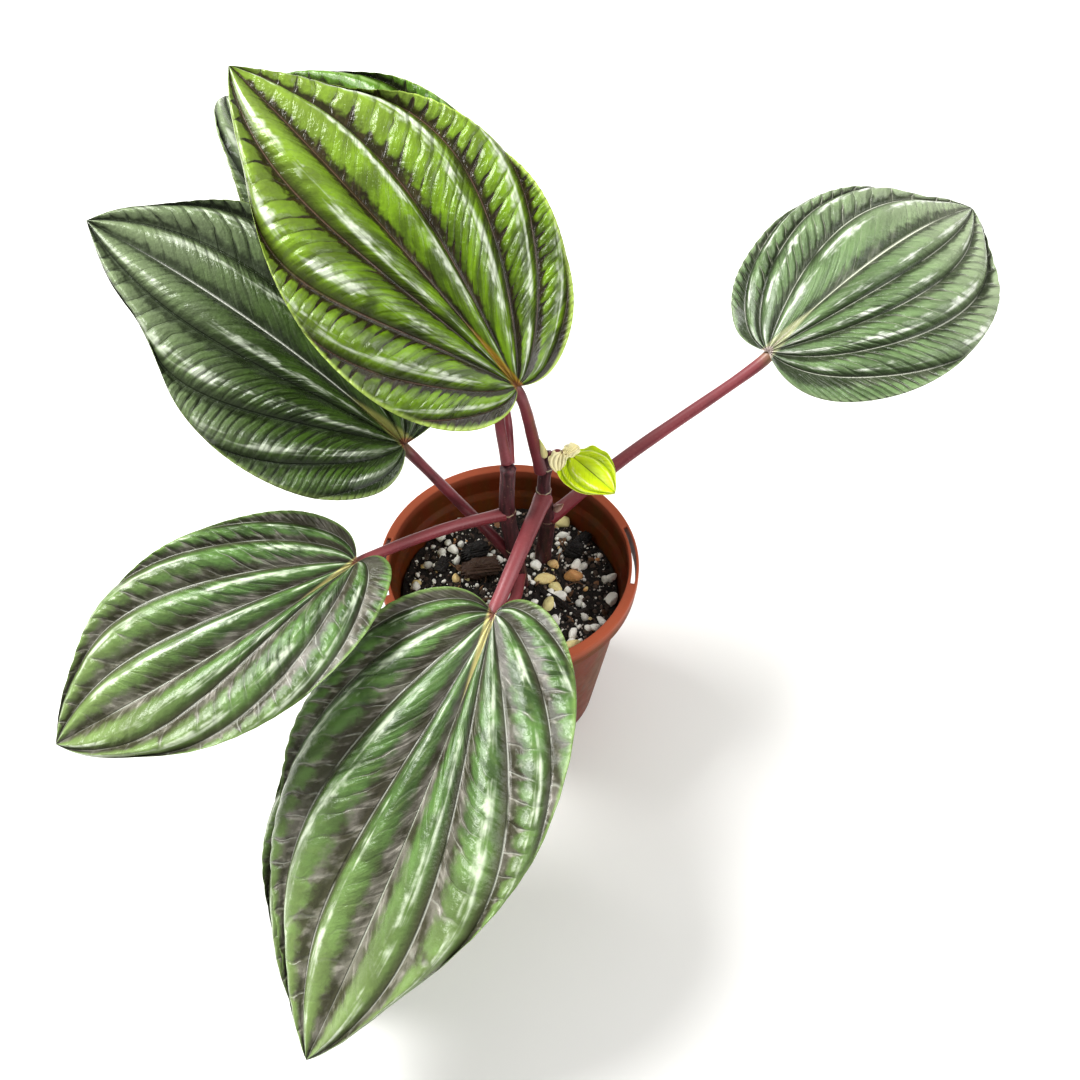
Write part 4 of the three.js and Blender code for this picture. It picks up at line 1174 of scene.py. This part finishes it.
class LeafSettings(bpy.types.PropertyGroup):
    rows: IntProperty(name="Rows", description="Rows of faces from base to tip", default=200, min=20)
    per_band: IntProperty(name="Columns", description="Columns of faces between two main veins",
                          default=9, min=4)
    rib_height: FloatProperty(name="Rib height", description="Height of the ribs between cross veins, in mm",
                              default=0.6, min=0)
    fresh: colour_setting("Fresh", "Ground colour of the newest large leaf", "74980e")
    middle: colour_setting("Middle", "Ground colour of the leaf behind", "4c7a1c")
    satin: colour_setting("Satin", "Ground colour of the leaf that stands out on the right", "728c5c")
    silver: colour_setting("Silvery", "Ground colour of the old leaves in front", "608245")
    dark: colour_setting("Dark", "Ground colour of the shaded old leaves", "40591f")
    young: colour_setting("Young", "Ground colour of the youngest leaf", "d6f000")
    cream: colour_setting("Stipules", "Ground colour of the two stipules of the youngest leaf", "fbf2c4")
    underside: colour_setting("Underside", "Lower face of the leaves", "7d9068")


class StageSettings(bpy.types.PropertyGroup):
    floor: colour_setting("Floor", "The floor", "f8f7f5")
    sky: FloatProperty(name="Ambient light", description="Strength of the light from all around",
                       default=0.38, min=0)
    key: FloatProperty(name="Key light", description="Power of the large soft light",
                       default=30, min=0, unit="POWER")
    fill: FloatProperty(name="Fill light", description="Power of the weaker light",
                        default=8, min=0, unit="POWER")


GROUPS = {
    "plant_pot": PotSettings, "plant_soil": SoilSettings, "plant_stalks": StalkSettings,
    "plant_leaves": LeafSettings, "plant_stage": StageSettings,
}


class PLANT_OT_pot(bpy.types.Operator):
    """Build the pot with its rolled rim, rim slots and drain holes"""

    bl_idname = "plant.pot"
    bl_label = "Pot"

    def execute(self, context):
        settings = context.scene.plant_pot
        material = pot_material(settings.colour, settings.rim, settings.streak)
        finish_piece(pot_piece(), [material], "pot", "pot")
        return {"FINISHED"}


class PLANT_OT_soil(bpy.types.Operator):
    """Build the bed of soil and the grains, bark and roots on it"""

    bl_idname = "plant.soil"
    bl_label = "Soil"

    def execute(self, context):
        settings = context.scene.plant_soil
        soil, crumb = settings.colour, settings.crumb_colour
        dark = shade(soil, 0.5)
        bed = grain_material("damp soil", dark, crumb, 0.9, 1.4, 0.8)
        crumbs = grain_material("soil crumbs", dark, crumb, 0.9)
        white = settings.perlite_colour
        perlite = grain_material("perlite", shade(white, 0.7), white, 0.7, 0.8, 0.2)
        tan = settings.granule_colour
        grit = grain_material("pale grit", shade(crumb, 2), white, 0.9)
        granules = grain_material("granules", rgb("d0905a"), tan, 0.6, 0.8)
        bark = grain_material("bark", rgb("3a281e"), rgb("8a6648"), 0.8, 0.7, 0.5)
        wood = grain_material("charred bark", rgb("080707"), rgb("4a3224"), 0.55, 1.2, 1.0)
        finish_piece(soil_piece(), [bed], "soil", "soil")
        round_lump = ((0.7, 1.0), (0.7, 1.0), (0.55, 0.9))
        flake = ((0.8, 1.3), (0.35, 0.7), (0.15, 0.3))
        pieces = [
            (scatter("crumbs", settings.crumbs, 1.0, 4.5, round_lump, 0.16, 0.1, 11), crumbs),
            (scatter("grit", settings.grit, 0.7, 2.4, round_lump, 0.16, -0.5, 16), grit),
            (scatter("perlite_grains", settings.perlite, 1.6, 5.6, round_lump, 0.03, -0.35, 12, 2), perlite),
            (scatter("granules", settings.granules, 1.4, 4.5, round_lump, 0.03, -0.4, 13, 2), granules),
            (scatter("bark_chips", settings.bark, 4, 9, flake, 0.08, -0.9, 14), bark),
            (root_piece("roots", 16, 0.45, 15), bark),
            (laid_stones("white_stones", 21), perlite),
            (laid_stones("tan_stones", 22), granules),
            (laid_stones("bark_blocks", 23), wood),
        ]
        for piece, material in pieces:
            finish_piece(piece, [material], "soil")
        return {"FINISHED"}


class PLANT_OT_canes(bpy.types.Operator):
    """Build the two upright canes with their node rings"""

    bl_idname = "plant.canes"
    bl_label = "Canes"

    def execute(self, context):
        settings = context.scene.plant_stalks
        material = cane_material("cane skin", settings.cane, settings.ring)
        for name in CANES:
            finish_piece(cane_piece(name), [material], "cane", f"cane_{name}")
        return {"FINISHED"}


class PLANT_OT_stalks(bpy.types.Operator):
    """Build the leaf stalks, each from its cane to the underside of its blade"""

    bl_idname = "plant.stalks"
    bl_label = "Leaf stalks"

    def execute(self, context):
        settings = context.scene.plant_stalks
        rose = stalk_material("rose stalk", settings.petiole, settings.petiole_highlight_and_fleck, settings.petiole_dark)
        # The second colour is the painted highlight along the top.
        wine = stalk_material("wine stalk", settings.wine, rgb("9a4a52"), rgb("4a121c"))
        for name in PETIOLES:
            material = wine if name in ("top", "back", "back_left", "left") else rose
            finish_piece(petiole_piece(name), [material], "petiole", f"petiole_{name}")
        return {"FINISHED"}


class PLANT_OT_buds(bpy.types.Operator):
    """Build the side bud and the sheath below the youngest leaf"""

    bl_idname = "plant.buds"
    bl_label = "Buds"

    def execute(self, context):
        settings = context.scene.plant_stalks
        colours = {"bud_side": (settings.bud, rgb("b98a72")), "sheath_top": (settings.sheath, rgb("b9c06a"))}
        for name, bud in BUDS.items():
            material = bud_material(name.replace("_", " "), *colours[name])
            finish_piece(bud_piece(name, bud), [material], "sheath", name)
        return {"FINISHED"}


class PLANT_OT_leaves(bpy.types.Operator):
    """Build the pleated blades with their veins and cross ribs"""

    bl_idname = "plant.leaves"
    bl_label = "Leaves"

    def execute(self, context):
        settings = context.scene.plant_leaves
        venation = venation_group()
        under = underside_material("leaf underside", settings.underside, venation)
        uppers = {}
        slots = {"fresh": "fresh_leaf", "young": "young_leaf", "cream": "young_leaf"}
        for name, leaf in (*LEAVES.items(), *FRILLS.items()):
            if leaf.look not in uppers:
                ground = tuple(getattr(settings, leaf.look))
                uppers[leaf.look] = leaf_material(f"{leaf.look} leaf", leaf.look, ground, venation)
            small = name in FRILLS
            rows, per_band = (FRILL_ROWS, FRILL_COLUMNS) if small else (settings.rows, settings.per_band)
            piece = blade_piece(name, leaf, rows, per_band, settings.rib_height)
            nodes = () if small else (f"blade_{name}",)
            lower = uppers["cream"] if small else under
            finish_piece(piece, [uppers[leaf.look], lower], slots.get(leaf.look, "old_leaf"), *nodes)
        return {"FINISHED"}


# The camera stands where the photograph was taken from. A lamp has its place and its width, in metres, and
# its power is the setting of its name. The floor's reach and level are in millimetres.

CAMERA_PLACE = (0, -0.328058, 0.524477)
CAMERA_DEGREES = (38.6178, 0.5023, -3.052)
SENSOR_WIDTH, FOCAL_LENGTH = 36, 40.43
EXPOSURE, GAMMA = 0.4, 0.9
FLOOR_REACH, FLOOR_LEVEL = 4000, -0.5
LAMPS = {"key": ((-0.9, 0.35, 1.3), 0.9), "fill": ((0.9, -0.3, 1.0), 1.0)}


class PLANT_OT_stage(bpy.types.Operator):
    """Build the floor, the soft lights and the camera"""

    bl_idname = "plant.stage"
    bl_label = "Stage"

    def execute(self, context):
        scene = context.scene
        settings = scene.plant_stage
        signs = np.array([(-1, -1), (1, -1), (1, 1), (-1, 1)])
        corners = np.hstack([FLOOR_REACH * signs, np.full((4, 1), FLOOR_LEVEL)])
        floor = make_object("floor", corners, [np.array([[0, 1, 2, 3]])], sharp=True)
        floor.data.materials.append(floor_material(settings.floor))
        world = scene.world or bpy.data.worlds.new("soft room")
        scene.world = world
        world.use_nodes = True
        sky = world.node_tree.nodes["Background"].inputs
        sky["Color"].default_value = (1.0, 0.995, 0.98, 1)
        sky["Strength"].default_value = settings.sky
        for name, (place, size) in LAMPS.items():
            lamp = bpy.data.lights.new(f"{name} light", "AREA")
            lamp.shape, lamp.size, lamp.energy = "DISK", size, getattr(settings, name)
            holder = bpy.data.objects.new(f"{name} light", lamp)
            holder.location = place
            holder.rotation_euler = (Vector((0, 0, 0.1)) - Vector(place)).to_track_quat("-Z", "Y").to_euler()
            scene.collection.objects.link(holder)
        view = bpy.data.cameras.new("camera")
        view.sensor_width, view.lens = SENSOR_WIDTH, FOCAL_LENGTH
        camera = bpy.data.objects.new("camera", view)
        camera.location = CAMERA_PLACE
        camera.rotation_euler = np.radians(CAMERA_DEGREES)
        scene.collection.objects.link(camera)
        scene.camera = camera
        scene.view_settings.view_transform = "Standard"
        scene.view_settings.exposure = EXPOSURE
        scene.view_settings.gamma = GAMMA
        return {"FINISHED"}


class PLANT_PT_panel(bpy.types.Panel):
    """Lists the plant's pieces with their settings"""

    bl_idname = "PLANT_PT_panel"
    bl_label = "Potted plant"
    bl_space_type = "VIEW_3D"
    bl_region_type = "UI"
    bl_category = "Plant"

    def draw(self, context):
        for operator in OPERATORS:
            self.layout.operator(operator.bl_idname)
        for attribute, group in GROUPS.items():
            box = self.layout.box()
            box.label(text=attribute.replace("_", " ").capitalize())
            for key in group.__annotations__:
                box.prop(getattr(context.scene, attribute), key)


OPERATORS = (
    PLANT_OT_pot, PLANT_OT_soil, PLANT_OT_canes, PLANT_OT_stalks, PLANT_OT_leaves, PLANT_OT_buds,
    PLANT_OT_stage,
)


def register():
    for cls in (*GROUPS.values(), *OPERATORS, PLANT_PT_panel):
        bpy.utils.register_class(cls)
    for attribute, group in GROUPS.items():
        setattr(bpy.types.Scene, attribute, PointerProperty(type=group))


def unregister():
    for attribute in GROUPS:
        delattr(bpy.types.Scene, attribute)
    for cls in (PLANT_PT_panel, *reversed(OPERATORS), *reversed(GROUPS.values())):
        bpy.utils.unregister_class(cls)


def main():
    """Build every piece and the stage."""
    register()
    bpy.ops.plant.pot()
    bpy.ops.plant.soil()
    bpy.ops.plant.canes()
    bpy.ops.plant.stalks()
    bpy.ops.plant.leaves()
    bpy.ops.plant.buds()
    bpy.ops.plant.stage()


if __name__ == "__main__":
    main()
